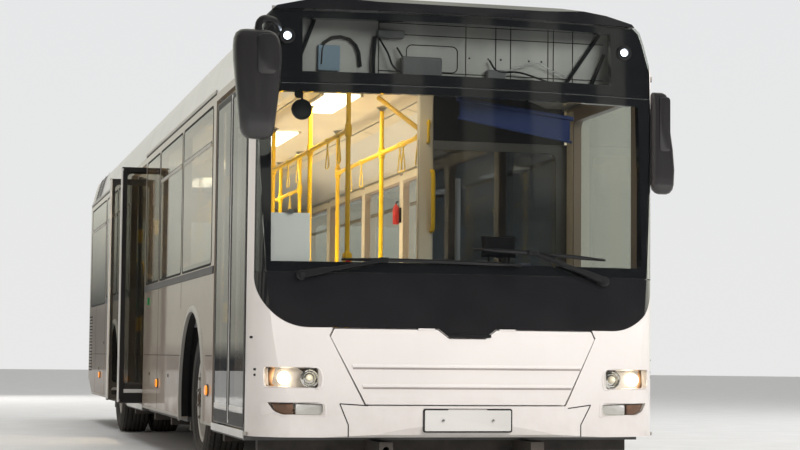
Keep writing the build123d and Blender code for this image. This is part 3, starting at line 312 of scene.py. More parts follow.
surface("chassis", "axle_iron", (0.014, 0.013, 0.013), 0.6, bump=0.0006, grain=90, film=(0.9, 0.25, 0.1),
        wear=0.2)
surface("arch_dark", "floor_cover", (0.008, 0.007, 0.007), 0.8, bump=0.0006, grain=120, drift=0.3)
surface("cast_iron", "axle_iron", (0.05, 0.045, 0.04), 0.62, metal=0.3, grain=140, bump=0.0015,
        film=(0.8, 0.8, 0.1), film_colour=(0.2, 0.13, 0.08))
surface("rim_silver", "column_steel", (0.62, 0.6, 0.56), 0.36, metal=0.35, grain=500, bump=0.0002, wear=0.5,
        wear_colour=(0.2, 0.12, 0.07), film=(1.0, 0.5, 0.1))
surface("tyre_rubber", "tyre_rubber", (0.022, 0.021, 0.02), 0.72, grain=420, bump=0.0006, drift=0.25,
        film=(1.1, 0.28, 0.0), film_colour=(0.13, 0.11, 0.09))
surface("seat_blue", "seat_cloth", (0.035, 0.05, 0.11), 0.85, drift=0.2, bump=0.0008, weave=420.0,
        fleck=(0.16, 0.17, 0.24))
surface("seat_edge", "seat_cloth", (0.02, 0.02, 0.025), 0.75, grain=600, bump=0.0006)
surface("seat_shell", "seat_cloth", (0.07, 0.075, 0.085), 0.48, grain=520, bump=0.0004, wear=0.25)
surface("engine_grey", "axle_iron", (0.07, 0.07, 0.07), 0.6, metal=0.4, bump=0.002, grain=60,
        film=(1.0, 0.5, 0.1))
surface("paper", "body_paint", (0.86, 0.85, 0.82), 0.8, grain=900, bump=0.0001, drift=0.03)
surface("blind", "dash_plastic", (0.028, 0.042, 0.115), 0.7, bump=0.0003)
surface("vent_blue", "dash_plastic", (0.20, 0.27, 0.34), 0.55, bump=0.0003)
surface("red_plastic", "housing_black", (0.5, 0.02, 0.015), 0.4, coat=0.3, grain=500, bump=0.0002)
surface("orange_lens", "lamp_lens", (0.95, 0.36, 0.01), 0.16, coat=0.8, grain=260, bump=0.0008,
        glow=((1.0, 0.30, 0.02), 0.8))
surface("red_lens", "lamp_lens", (0.55, 0.01, 0.01), 0.14, coat=0.9, grain=180, bump=0.001)
surface("amber_lens", "lamp_lens", (0.8, 0.22, 0.01), 0.14, coat=0.9, grain=180, bump=0.001)
surface("white_lens", "lamp_lens", (0.78, 0.78, 0.76), 0.12, coat=0.9, grain=180, bump=0.001)
surface("fog_lens", "lamp_lens", (0.21, 0.12, 0.08), 0.18, coat=0.9, grain=150, bump=0.001)
surface("lamp_warm", "lamp_lens", (1.0, 0.86, 0.62), 0.3, glow=((1.0, 0.86, 0.66), 5.0))
surface("lamp_soft", "lamp_lens", (1.0, 0.9, 0.7), 0.3, glow=((1.0, 0.84, 0.62), 0.15))
surface("marker_glow", "lamp_lens", (0.9, 0.95, 1.0), 0.3, glow=((0.75, 0.86, 1.0), 9.0))
surface("ceiling_glow", "lamp_lens", (1.0, 0.95, 0.82), 0.4, glow=((1.0, 0.90, 0.70), 3.0))
surface("plate_blank", "body_paint", (0.74, 0.73, 0.70), 0.4, coat=0.4, grain=400, bump=0.0001,
        film=(0.7, 0.3, 0.0))
surface("lamp_metal", "housing_black", (0.62, 0.47, 0.36), 0.2, metal=0.9, grain=90, bump=0.003, drift=0.5)
surface("mirror_black", "housing_black", (0.022, 0.021, 0.022), 0.3, coat=0.35, grain=420, bump=0.0002,
        film=(0.9, 0.1, 0.1))
surface("nut_steel", "column_steel", (0.32, 0.30, 0.28), 0.4, metal=0.85, bump=0.0003, film=(0.9, 0.5, 0.1))
surface("belt_grey", "housing_black", (0.10, 0.098, 0.10), 0.5, grain=420, bump=0.0003, film=(1.5, 0.3, 0.2))
surface("side_rail", "body_paint", (0.50, 0.48, 0.44), 0.36, metal=0.3, grain=500, film=(1.2, 0.4, 0.1))
surface("green_plastic", "housing_black", (0.02, 0.25, 0.07), 0.4, coat=0.3, grain=500, bump=0.0002)
surface("sill_metal", "column_steel", (0.78, 0.77, 0.75), 0.34, metal=0.3, grain=700, bump=0.0002,
        film=(0.6, 0.12, 0.05))
# Painted shadow: a grey for the strips under the flap ribs, standing in for the shade below each pressed rib
surface("rib_painted_shadow", "black_panel", (0.36, 0.32, 0.30), 0.6, grain=500, bump=0.0001)
surface("cab_dark", "cab_panel", (0.018, 0.02, 0.024), 0.55, grain=500, bump=0.0003)
surface("header_grey", "dash_plastic", (0.13, 0.13, 0.135), 0.5, grain=500, bump=0.0003)
surface("strap_yellow", "rail_yellow", (0.80, 0.60, 0.12), 0.45, coat=0.2, grain=500, bump=0.0001)
pane_glass("cab_glass", (0.07, 0.08, 0.10), 0.02, 0.05)
pane_glass("screen_glass", (0.90, 0.93, 0.92), 0.0, 0.02)
pane_glass("side_glass", (0.60, 0.61, 0.58), 0.01, film=(2.2, 0.25, 0.3))
pane_glass("door_glass", (0.48, 0.48, 0.45), 0.01)
pane_glass("lamp_glass", (0.97, 0.97, 0.95), 0.0, 0.05, film=(0.8, 0.2, 0.0))
# Painted glow on the head lamp reflectors, in place of the light their bulbs throw on them
lamp_bowl_painted_glow("lamp_bowl_painted_glow", (1.0, 0.88, 0.66), (1.0, 0.46, 0.16), (0.06, 0.03, 0.02), (1.065, 0.660), 0.088, 11.0)


# Places on the bus's faces


def at(x, along_bus, z):
    """A point by its distance behind the front."""
    return Vector((x, FRONT + along_bus, z))


def face_y(x, z):
    """The Y of the front face at a height and a distance from the middle."""
    side = min(abs(x), HALF)
    bow = BOW - math.sqrt(BOW * BOW - side * side)
    deep = max(bow, bow / math.cos(LEAN) + (z - LEAN_START) * math.tan(LEAN))
    if side > HALF - CORNER:
        ahead = BOW - math.sqrt((BOW - CORNER) ** 2 - (HALF - CORNER) ** 2)
        deep = max(deep, ahead - math.sqrt(max(CORNER**2 - (side - HALF + CORNER) ** 2, 0)))
    return FRONT + deep


def on_face(x, z, out=0.0):
    """A point of the front face, moved outwards along its normal."""
    step = 0.004
    across = Vector((2 * step, face_y(x + step, z) - face_y(x - step, z), 0))
    upward = Vector((0, face_y(x, z + step) - face_y(x, z - step), 2 * step))
    normal = across.cross(upward).normalized()
    if normal.y > 0:
        normal = -normal
    return Vector((x, face_y(x, z), z)) + normal * out


def rear_place(x, z, out=0.0):
    """A point on the curved rear end, moved backwards by a distance."""
    bend, corner = 9.0, 0.16
    inner = HALF - corner
    if abs(x) <= inner * bend / (bend - corner):
        depth = bend - math.sqrt(bend ** 2 - x * x)
    else:
        depth = (bend - math.sqrt((bend - corner) ** 2 - inner ** 2)
                 - math.sqrt(corner ** 2 - (abs(x) - inner) ** 2))
    return Vector((x, REAR - depth + out, z))


def side_point(side, along_bus, z, out=0.0):
    """A point of a side wall, by its distance behind the front."""
    return at(side * (HALF + out), along_bus, z)


# Making meshes


def form():
    """An empty mesh to build in."""
    return bmesh.new()


def skin(shape, rings, loop=False, caps=True):
    """Joins rings of equally many points into a wall, with flat ends unless it loops."""
    rows = [[shape.verts.new(point) for point in ring] for ring in rings]
    count = len(rows[0])
    for low, high in list(zip(rows, rows[1:])) + ([(rows[-1], rows[0])] if loop else []):
        for i in range(count):
            j = (i + 1) % count
            shape.faces.new((low[i], low[j], high[j], high[i]))
    if caps and not loop:
        shape.faces.new(list(reversed(rows[0])))
        shape.faces.new(rows[-1])


def rounded(width, height, radius, steps=4):
    """A rectangle with round corners about the origin, as (u, v) points."""
    points = []
    for cx, cy, start in ((1, 1, 0), (-1, 1, 90), (-1, -1, 180), (1, -1, 270)):
        for i in range(steps + 1):
            turn = math.radians(start + 90 * i / steps)
            points.append((cx * (width / 2 - radius) + radius * math.cos(turn),
                           cy * (height / 2 - radius) + radius * math.sin(turn)))
    return points


def bar(shape, low, high, edge=0.004, steps=2):
    """A bar between two corners with softened edges."""
    made = bmesh.ops.create_cube(shape, size=1.0)["verts"]
    size = [high[i] - low[i] for i in range(3)]
    for vert in made:
        vert.co = Vector([(high[i] + low[i]) / 2 + vert.co[i] * size[i] for i in range(3)])
    if edge:
        lines = list({line for vert in made for line in vert.link_edges})
        bmesh.ops.bevel(shape, geom=lines, offset=min(edge, min(size) * 0.45), segments=steps, affect="EDGES",
                        clamp_overlap=True)


def box(shape, x0, x1, along0, along1, z0, z1, edge=0.003):
    """A bar by its distances behind the front."""
    bar(shape, (x0, FRONT + along0, z0), (x1, FRONT + along1, z1), edge, 1)


def plate(shape, outline, place, low, high, edge=0.0):
    """A slab over a flat outline; place turns (u, v, w) into a point, and w runs from low to high."""
    middle_u = sum(p[0] for p in outline) / len(outline)
    middle_v = sum(p[1] for p in outline) / len(outline)
    small = []
    for u, v in outline:
        share = 1 - edge / max(math.hypot(u - middle_u, v - middle_v), 1e-6)
        small.append((middle_u + (u - middle_u) * share, middle_v + (v - middle_v) * share))
    layers = [(small, low), (outline, low + edge), (outline, high - edge), (small, high)]
    skin(shape, [[place(u, v, w) for u, v in layer] for layer, w in layers])


def lathe(shape, profile, centre, axis, steps=32, loop=False):
    """A turned form: (radius, distance along the axis) pairs swept round it."""
    axis = Vector(axis).normalized()
    side = axis.orthogonal().normalized()
    other = axis.cross(side)
    spokes = [(math.cos(2 * math.pi * i / steps), math.sin(2 * math.pi * i / steps)) for i in range(steps)]
    skin(shape, [[Vector(centre) + axis * along_axis + (side * c + other * s) * radius for c, s in spokes]
                 for radius, along_axis in profile], loop=loop)


def eased(points, steps=6):
    """A smooth line through points."""
    points = [Vector(p) for p in points]
    ends = [points[0] * 2 - points[1]] + points + [points[-1] * 2 - points[-2]]
    line = []
    for i in range(1, len(ends) - 2):
        a, b, c, d = ends[i - 1:i + 3]
        for k in range(steps):
            t = k / steps
            line.append(0.5 * (2 * b + (c - a) * t + (2 * a - 5 * b + 4 * c - d) * t * t
                               + (3 * b - a - 3 * c + d) * t**3))
    line.append(points[-1])
    return line


def tube(shape, path, radius, sides=12, closed=False):
    """A round tube along a line of points."""
    path = [Vector(p) for p in path]
    count = len(path)
    rings = []
    side = None
    for i, point in enumerate(path):
        ahead = path[(i + 1) % count] if closed or i < count - 1 else point
        behind = path[i - 1] if closed or i > 0 else point
        run = (ahead - behind).normalized()
        side = run.orthogonal().normalized() if side is None else (side - run * side.dot(run)).normalized()
        other = run.cross(side)
        turns = [2 * math.pi * k / sides for k in range(sides)]
        rings.append([point + (side * math.cos(turn) + other * math.sin(turn)) * radius for turn in turns])
    skin(shape, rings, loop=closed)


def pipe(shape, path, radius, sides=12, steps=0):
    """A tube along points given by their distance behind the front, eased where steps are given."""
    line = [at(*point) for point in path]
    tube(shape, eased(line, steps) if steps else line, radius, sides)


def runs(points, step=0.05):
    """Points added along straight runs, so that a strip follows the curved face."""
    line = []
    for (x0, z0), (x1, z1) in zip(points, points[1:]):
        parts = max(1, int(math.hypot(x1 - x0, z1 - z0) / step))
        line += [(x0 + (x1 - x0) * i / parts, z0 + (z1 - z0) * i / parts) for i in range(parts)]
    return line + [points[-1]]


def ribbon(shape, line, width):
    """A dark strip let into the front face along (x, z) points."""
    low, high = -0.004, 0.0012
    rings = []
    for i, (x, z) in enumerate(line):
        ahead, behind = line[min(i + 1, len(line) - 1)], line[max(i - 1, 0)]
        run = Vector((ahead[0] - behind[0], ahead[1] - behind[1])).normalized()
        side = Vector((-run.y, run.x)) * width / 2
        rings.append([on_face(x + side.x * share, z + side.y * share, out)
                      for share, out in ((1, low), (0.7, high), (-0.7, high), (-1, low))])
    skin(shape, rings)


def face_pad(shape, outline, x, z, layers):
    """A cover over a flat outline on the front face; layers are (share of the outline, distance outwards)."""
    skin(shape, [[on_face(x + u * share, z + v * share, out) for u, v in outline] for share, out in layers])


def hang(mesh, name, material, body, slot, stands_for, smooth, subdivide=0):
    """Smooths a mesh up to an angle and hangs it on its body."""
    piece = bpy.data.objects.new(name, mesh)
    scene.collection.objects.link(piece)
    mesh.shade_smooth()
    mesh.set_sharp_from_angle(angle=math.radians(smooth))
    if subdivide:
        soft = piece.modifiers.new("soft", "SUBSURF")
        soft.levels = soft.render_levels = subdivide
    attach(piece, body)
    if stands_for:
        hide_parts(*stands_for)
    slot or SLOT[material]
    return piece


def finish(shape, name, material, body="bus_body", slot=None, stands_for=(), smooth=35.0, subdivide=0):
    """Closes a mesh and gives it its finish and body."""
    bmesh.ops.remove_doubles(shape, verts=shape.verts, dist=0.00002)
    bmesh.ops.recalc_face_normals(shape, faces=shape.faces)
    mesh = bpy.data.meshes.new(name)
    shape.to_mesh(mesh)
    shape.free()
    mesh.materials.append(FINISH[material])
    return hang(mesh, name, material, body, slot, stands_for, smooth, subdivide)


# Geometry Nodes for what repeats


def repeat_tree(name, ring):
    """A tree that repeats a piece in a straight line, or in a ring about the X axis."""
    tree = bpy.data.node_groups.new(name, "GeometryNodeTree")
    for title, kind in (("Geometry", "Geometry"), ("Count", "Int"), ("Step", "Vector"),
                        ("Finish", "Material")):
        tree.interface.new_socket(title, in_out="INPUT", socket_type="NodeSocket" + kind)
    tree.interface.new_socket("Geometry", in_out="OUTPUT", socket_type="NodeSocketGeometry")
    add, link = tree.nodes.new, tree.links.new
    given = add("NodeGroupInput").outputs
    line = add("GeometryNodeMeshLine")
    link(given["Count"], line.inputs["Count"])
    spots = add("GeometryNodeInstanceOnPoints")
    link(line.outputs[0], spots.inputs["Points"])
    link(given["Geometry"], spots.inputs["Instance"])
    if ring:
        line.inputs["Offset"].default_value = (0, 0, 0)
        share, turn = add("ShaderNodeMath"), add("ShaderNodeMath")
        share.operation, turn.operation = "DIVIDE", "MULTIPLY"
        link(add("GeometryNodeInputIndex").outputs[0], share.inputs[0])
        link(given["Count"], share.inputs[1])
        turn.inputs[1].default_value = 2 * math.pi
        link(share.outputs[0], turn.inputs[0])
        angle = add("ShaderNodeCombineXYZ")
        link(turn.outputs[0], angle.inputs[0])
        link(angle.outputs[0], spots.inputs["Rotation"])
    else:
        link(given["Step"], line.inputs["Offset"])
    real, paint = add("GeometryNodeRealizeInstances"), add("GeometryNodeSetMaterial")
    link(spots.outputs[0], real.inputs[0])
    link(real.outputs[0], paint.inputs["Geometry"])
    link(given["Finish"], paint.inputs["Material"])
    link(paint.outputs[0], add("NodeGroupOutput").inputs[0])
    return tree


IN_LINE = repeat_tree("repeat_in_line", False)
IN_RING = repeat_tree("repeat_in_ring", True)


def repeated(shape, name, material, count, step=0.0, centre=None, body="bus_body", slot=None):
    """Repeats a small form upwards, or round an axle, and keeps the result as one plain mesh."""
    bmesh.ops.recalc_face_normals(shape, faces=shape.faces)
    source = bpy.data.meshes.new(name + "_one")
    shape.to_mesh(source)
    shape.free()
    holder = bpy.data.objects.new(name + "_one", source)
    scene.collection.objects.link(holder)
    made = holder.modifiers.new("repeat", "NODES")
    made.node_group = IN_RING if centre else IN_LINE
    sockets = {item.name: item.identifier for item in made.node_group.interface.items_tree
               if item.in_out == "INPUT"}
    made[sockets["Count"]] = count
    made[sockets["Step"]] = Vector((0, 0, step))
    made[sockets["Finish"]] = FINISH[material]
    mesh = bpy.data.meshes.new_from_object(holder.evaluated_get(bpy.context.evaluated_depsgraph_get()))
    bpy.data.objects.remove(holder)
    mesh.name = name
    if centre:
        mesh.transform(Matrix.Translation(Vector(centre)))
    hang(mesh, name, material, body, slot, (), 35.0)


def dress(material, *names):
    """Gives CAD nodes their finish."""
    for name in names:
        mesh = nodes[name].data
        if not mesh.materials:
            mesh.materials.append(FINISH[material])
        for i in range(len(mesh.materials)):
            mesh.materials[i] = FINISH[material]


dress("mask_white", "front_mask", "service_flap")
# The side walls wear the darker copy of the white paint, painted shade
dress("side_paint_painted_shade", "side_wall_right", "side_wall_left")
# The rear wall and engine lid wear the darker, shaded copy of the white paint
dress("rear_paint_painted_shade", "rear_wall", "engine_lid")
dress("roof_paint", "roof")
dress("gloss_black", "front_fascia")
dress("screen_glass", "front_glass")
dress("side_glass", "side_windows")
dress("floor_cover", "floor")
dress("chassis", "underframe")
dress("cast_iron", "front_axle", "rear_axle", "knuckle_right", "knuckle_left")
dress("engine_grey", "engine")
dress("dash_grey", "cockpit")
dress("seat_shell", "passenger_seats")
dress("seat_blue", "driver_seat")
dress("cab_grey", "cab_partition")
dress("rail_yellow", "handrails")
dress("satin_black", "mirrors", "wipers")
dress("rim_silver", "rim_front_right", "rim_front_left", "rim_rear_right", "rim_rear_left")
for door in DOORS:
    dress("leaf_black", f"door_{door}_leaf")
    dress("door_glass", f"door_{door}_glass")
    dress("column_grey", f"door_{door}_column")


# Front end: seams, lamps, plate, marks


FORWARD = (0, -1, 0)
LET_IN = [(1.0, -0.003), (1.0, 0.0012)]


def make_front_lines():
    """Gaps between the front panels and small plugs, let into the face."""
    shape = form()
    for line in ([(-0.751, 0.513), (-0.701, 0.392), (-0.701, 0.324)],
                 [(0.769, 0.509), (0.705, 0.392), (0.705, 0.324)],
                 [(-0.751, 0.513), (-0.589, 0.503)], [(0.769, 0.509), (0.622, 0.49)]):
        ribbon(shape, runs(line), 0.008)
    for x, z in ((-1.216, 0.705), (-1.215, 0.673), (-1.233, 0.89)):
        face_pad(shape, rounded(0.012, 0.014, 0.004), x, z, LET_IN)
    for x, z in ((1.216, 0.705), (1.215, 0.673)):
        face_pad(shape, rounded(0.010, 0.012, 0.004), x, z, LET_IN)
    finish(shape, "front_seams", "seam_dark")


def make_flap_dress():
    """The service flap's two pressed ribs with a grey painted shadow line under each, and the grip in its notch.
    """
    section = ((0.016, -0.004), (0.014, 0.0006), (0.006, 0.0052), (-0.004, 0.0052), (-0.0055, -0.004))
    ribs, rib_shadow_lines, grip = form(), form(), form()
    for z, left, right in ((0.727, -0.679, 0.708), (0.614, -0.621, 0.647)):
        line = runs([(left, z), (right, z)], 0.06)
        skin(ribs, [[on_face(x, z + off, out) for off, out in section] for x, z in line])
    finish(ribs, "flap_ribs", "mask_white", "flap")
    # Grey strips that paint the shadow under each rib
    for z, left, right in ((0.7155, -0.676, 0.705), (0.6025, -0.618, 0.644)):
        ribbon(rib_shadow_lines, runs([(left, z), (right, z)], 0.06), 0.012)
    finish(rib_shadow_lines, "flap_rib_rubbers", "rib_painted_shadow", "flap")
    face_pad(grip, rounded(0.26, 0.018, 0.007), 0.015, 0.908, [(1.0, -0.003), (1.0, 0.004), (0.94, 0.007)])
    finish(grip, "notch_grip", "satin_black", slot="black_panel")


def lamp_outline(corners, radius, steps=4):
    """Corner points of a lamp rounded off, in order."""
    count = len(corners)
    line = []
    for i in range(count):
        here = Vector(corners[i])
        before = (Vector(corners[i - 1]) - here).normalized()
        after = (Vector(corners[(i + 1) % count]) - here).normalized()
        start, end = here + before * radius, here + after * radius
        for k in range(steps + 1):
            t = k / steps
            line.append(tuple(start * (1 - t) ** 2 + here * 2 * t * (1 - t) + end * t * t))
    return line


def stack(shape, *rings, caps=True):
    """A wall through outlines on the front face, each shrunk by a share and moved outwards."""
    made = []
    for outline, share, out in rings:
        middle_x = sum(p[0] for p in outline) / len(outline)
        middle_z = sum(p[1] for p in outline) / len(outline)
        made.append([on_face(middle_x + (x - middle_x) * share, middle_z + (z - middle_z) * share, out)
                     for x, z in outline])
    skin(shape, made, caps=caps)


def make_front_lamp(side):
    """One head lamp and the lamp below it: recess, reflectors, bulbs and cover glass."""
    tag = "right" if side < 0 else "left"

    def outline(radius, *corners):
        return lamp_outline([(side * x, z) for x, z in corners], radius)

    def lens(name, material, *rings):
        shape = form()
        stack(shape, *rings)
        finish(shape, f"{name}_{tag}", material)

    def bulb(name, material, profile, x, out, steps, smooth=35.0):
        shape = form()
        lathe(shape, profile, on_face(side * x, 0.660, out), FORWARD, steps)
        finish(shape, f"{name}_{tag}", material, slot="lamp_lens", smooth=smooth)

    head = outline(0.016, (1.173, 0.722), (0.872, 0.716), (0.852, 0.668), (0.861, 0.601), (1.172, 0.609))
    low = outline(0.014, (1.158, 0.520), (0.838, 0.510), (0.836, 0.443), (1.07, 0.447), (1.122, 0.468))
    head_rim = outline(0.03, (1.211, 0.726), (0.862, 0.724), (0.842, 0.668), (0.852, 0.592), (1.211, 0.592))
    low_rim = outline(0.014, (1.186, 0.524), (0.828, 0.518), (0.822, 0.436), (1.07, 0.440), (1.186, 0.443))
    recess, cover = form(), form()
    for line, rim in ((head, head_rim), (low, low_rim)):
        stack(recess, (rim, 1.01, -0.006), (rim, 1.0, 0.0015), (line, 1.03, 0.004), (line, 1.0, 0.003),
              (line, 0.985, -0.012), (line, 0.985, -0.040), caps=False)
        stack(recess, (rim, 1.01, -0.006), (line, 1.0, -0.014),
              (line, 0.99, -0.040), (line, 0.985, -0.040), caps=False)
        stack(cover, (line, 0.985, -0.006), (line, 0.985, -0.001), (line, 0.93, 0.0025))
    finish(recess, f"lamp_recess_{tag}", "mask_white", stands_for=("lamps",))
    # The head lamp's reflector, with its painted glow
    lens("lamp_bowl_painted_glow", "lamp_bowl_painted_glow", (head, 1.005, -0.044), (head, 1.005, -0.036))
    lens("lamp_back", "lamp_metal", (low, 1.005, -0.044), (low, 1.005, -0.036))
    finish(cover, f"lamp_cover_{tag}", "lamp_glass")
    bulb("lamp_reflectors", "chrome",
         [(0.054, 0.0), (0.054, 0.019), (0.050, 0.020), (0.043, 0.010), (0.037, 0.013),
          (0.030, 0.003), (0.022, 0.006), (0.014, -0.002), (0.0, -0.003)], 0.925, -0.030, 11, 12)
    bulb("head_bulb", "lamp_warm", [(0.037, 0.0), (0.037, 0.008), (0.026, 0.018), (0.0, 0.024)],
         1.07, -0.032, 24)
    bulb("dip_bulb", "lamp_soft", [(0.022, 0.0), (0.020, 0.012), (0.010, 0.020), (0.0, 0.022)],
         0.925, -0.024, 20)
    outer = outline(0.008, (1.145, 0.513), (1.016, 0.509), (1.016, 0.450), (1.07, 0.451), (1.115, 0.468))
    inner = outline(0.008, (1.002, 0.509), (0.846, 0.504), (0.844, 0.450), (1.002, 0.450))
    lens("fog_lamp", "fog_lens", (outer, 1.0, -0.034), (outer, 1.0, -0.014), (outer, 0.9, -0.010))
    lens("turn_lamp", "white_lens", (inner, 1.0, -0.034), (inner, 1.0, -0.014), (inner, 0.95, -0.010))


def make_markers():
    """Two small round lamps high on the black panel."""
    rim, core = form(), form()
    for x in (-1.05, 1.05):
        spot = on_face(x, 2.66)
        lathe(rim, [(0.046, -0.02), (0.046, 0.008), (0.040, 0.012), (0.025, 0.011), (0.023, -0.01)],
              spot, FORWARD)
        lathe(core, [(0.021, -0.012), (0.021, 0.002), (0.014, 0.008), (0.0, 0.011)], spot, FORWARD, 24)
    finish(rim, "marker_rims", "satin_black", slot="black_panel", stands_for=("lamps",))
    finish(core, "marker_bulbs", "marker_glow")


def make_plate():
    """A blank number plate in its black holder, below the flap."""
    holder, front, screws = form(), form(), form()
    height = 0.4185
    face_pad(holder, rounded(0.536, 0.138, 0.012), 0.0, height,
             [(1.0, -0.004), (1.0, 0.006), (0.985, 0.009), (0.96, 0.009), (0.955, 0.004)])
    face_pad(front, rounded(0.518, 0.120, 0.008), 0.0, height,
             [(1.0, 0.002), (1.0, 0.0092), (0.985, 0.0105), (0.965, 0.0098)])
    for x in (-0.15, 0.15):
        lathe(screws, [(0.008, 0.0), (0.008, 0.004), (0.005, 0.006), (0.0, 0.006)], on_face(x, height, 0.009),
              FORWARD, 12)
    finish(holder, "plate_holder", "satin_black", slot="black_panel")
    finish(front, "plate_front", "plate_blank")
    finish(screws, "plate_screws", "alu")


make_front_lines()
make_flap_dress()
for lamp_side in (-1, 1):
    make_front_lamp(lamp_side)
make_markers()
make_plate()


# Tail lamps, rear grille and grip


def make_tail():
    """Round lamps on the rear corners, with the slats and grip of the engine lid."""
    rims, reds, ambers, whites = form(), form(), form(), form()
    for side in (-1, 1):
        for z, kind in ((1.33, reds), (1.19, ambers), (1.05, reds), (0.91, whites)):
            spot, away = rear_place(side * 1.12, z), (side * 0.22, 1, 0)
            lathe(rims, [(0.053, -0.03), (0.055, -0.004), (0.054, 0.005), (0.049, 0.008), (0.044, 0.007),
                         (0.043, -0.012)], spot, away)
            lathe(kind, [(0.043, -0.014), (0.043, 0.002), (0.030, 0.008), (0.0, 0.011)], spot, away)
    finish(rims, "tail_lamp_rims", "satin_black", stands_for=("lamps",))
    finish(reds, "tail_lamps", "red_lens")
    finish(ambers, "tail_turn_lamps", "amber_lens")
    finish(whites, "reversing_lamps", "white_lens")
    slat, grip = form(), form()
    for shape, half, low, high in ((slat, 0.70, 0.700, 0.714), (grip, 0.15, 1.25, 1.29)):
        section = ((low, -0.004), (high, -0.004), (high, 0.0024), (low, 0.0024))
        skin(shape, [[rear_place(half * (k / 5 - 1), z, out) for z, out in section] for k in range(11)])
    repeated(slat, "engine_lid_slats", "satin_black", 16, 0.026, body="engine_cover", slot="black_panel")
    for x in (-0.74, 0.74):
        lathe(grip, [(0.022, -0.004), (0.022, 0.006), (0.016, 0.010), (0.0, 0.010)], rear_place(x, 0.69),
              (0, 1, 0), 20)
    finish(grip, "engine_lid_grip", "satin_black", "engine_cover", "black_panel")


make_tail()


# Wheels


TYRE_PROFILE = [
    (0.286, -0.099), (0.313, -0.101), (0.320, -0.118), (0.334, -0.127), (0.352, -0.134), (0.372, -0.1375),
    (0.392, -0.138), (0.412, -0.1362), (0.430, -0.131), (0.446, -0.126), (0.458, -0.119), (0.468, -0.108),
    (0.473, -0.100), (0.474, -0.090), (0.461, -0.087), (0.461, -0.079), (0.476, -0.076), (0.4765, -0.044),
    (0.463, -0.041), (0.463, -0.033), (0.4772, -0.030), (0.4778, -0.006), (0.464, -0.004),
]
TYRE_INSIDE = [(0.286, 0.082), (0.356, 0.098), (0.428, 0.094), (0.444, 0.0), (0.428, -0.094), (0.356, -0.098),
               (0.286, -0.082)]


def make_tyres(name, body, x_places, y, stands_for):
    """Tyres of one wheel body: ribs and grooves, shoulder lugs, sipes and rings on the sidewalls."""
    section = TYRE_PROFILE + [(radius, -side) for radius, side in reversed(TYRE_PROFILE)] + TYRE_INSIDE
    shape, lugs = form(), form()
    turns = [math.radians(k) for k in range(0, 360, 60)]
    for x in x_places:
        hub = (x, y, WHEEL_Z)
        lathe(shape, section, hub, (1, 0, 0), 72, loop=True)
        for radius, off, high in ((0.342, 0.130, 0.0022), (0.405, 0.1370, 0.0016), (0.437, 0.1290, 0.0022)):
            for way in (-1, 1):
                ring = [(radius + 0.004 * math.cos(turn), way * (off + (0.002 + high) * math.sin(turn)))
                        for turn in turns]
                lathe(shape, ring, hub, (1, 0, 0), 72, loop=True)
        for low, high in ((-0.1195, -0.0935), (0.0935, 0.1195)):
            bar(lugs, (x + low, -0.0125, 0.4715 - 0.014), (x + high, 0.0125, 0.4715), 0.003, 1)
        for low, high in ((-0.074, -0.048), (0.048, 0.074), (-0.028, -0.008), (0.008, 0.028)):
            bar(lugs, (x + low, -0.0145, 0.470), (x + high, 0.0145, 0.4778), 0.0018, 1)
    finish(shape, name, "tyre_rubber", body, stands_for=stands_for)
    repeated(lugs, name + "_tread", "tyre_rubber", 84, centre=(0, y, WHEEL_Z), body=body)


def hex_head(shape, x, outward, high, radius, low, top, edge):
    """A hexagonal head standing off a wheel's disc, at a height above the axle."""
    outline = [(radius * math.cos(math.radians(60 * k)),
                radius * math.sin(math.radians(60 * k))) for k in range(6)]
    plate(shape, outline, lambda u, v, w: Vector((x + outward * w, u, high + v)), low, top, edge)


def make_nuts(name, body, x, y, circle, outward):
    """Ten wheel nuts with their washers and stud ends, and the valve."""
    nut, valve = form(), form()
    spot = (x, 0.0, circle)
    lathe(nut, [(0.021, 0.0), (0.021, 0.004), (0.017, 0.006)], spot, (outward, 0, 0), 12)
    hex_head(nut, x, outward, circle, 0.0185, 0.005, 0.026, 0.002)
    lathe(nut, [(0.011, 0.02), (0.011, 0.036), (0.008, 0.040), (0.0, 0.040)], spot, (outward, 0, 0), 10)
    repeated(nut, name, "nut_steel", 10, centre=(0, y, WHEEL_Z), body=body)
    tube(valve, [(x + outward * out, y + 0.05, WHEEL_Z + 0.21 + up)
                 for out, up in ((-0.01, -0.03), (0.02, -0.012), (0.03, 0.004))], 0.0045, 8)
    finish(valve, name + "_valve", "alu", body)


def make_hub(name, body, x, y, radius, outward):
    """The hub's cap with a raised ring of small bolts."""
    cap, bolt = form(), form()
    lathe(cap, [(radius, -0.01), (radius, 0.004), (radius * 0.93, 0.010), (radius * 0.8, 0.011),
                (radius * 0.76, 0.020),
                (radius * 0.5, 0.027), (0.0, 0.030)], (x, y, WHEEL_Z), (outward, 0, 0), 40)
    finish(cap, name + "_cap", "cast_iron", body)
    hex_head(bolt, x, outward, radius * 0.865, 0.007, 0.008, 0.016, 0.001)
    repeated(bolt, name + "_cap_bolts", "nut_steel", 8, centre=(0, y, WHEEL_Z), body=body)


for wheel_side, tag in ((-1, "right"), (1, "left")):
    for end, body, tyres, axle, tyre_x, nut_x, nut_circle, hub_x, hub_radius in (
            ("front", "wheel", "tyre", FRONT_AXLE, (1.05,), 1.146, 0.1675, 1.1722, 0.058),
            ("rear", "wheels", "tyres", REAR_AXLE, (1.05, 0.74), 0.907, 0.160, 1.0952, 0.094)):
        body = f"{body}_{end}_{tag}"
        make_tyres(f"{end}_{tyres}_{tag}", body, [wheel_side * x for x in tyre_x], axle,
                   (f"tyre_{end}_{tag}",))
        make_nuts(f"{end}_nuts_{tag}", body, wheel_side * nut_x, axle, nut_circle, wheel_side)
        make_hub(f"{end}_hub_{tag}", body, wheel_side * hub_x, axle, hub_radius, wheel_side)


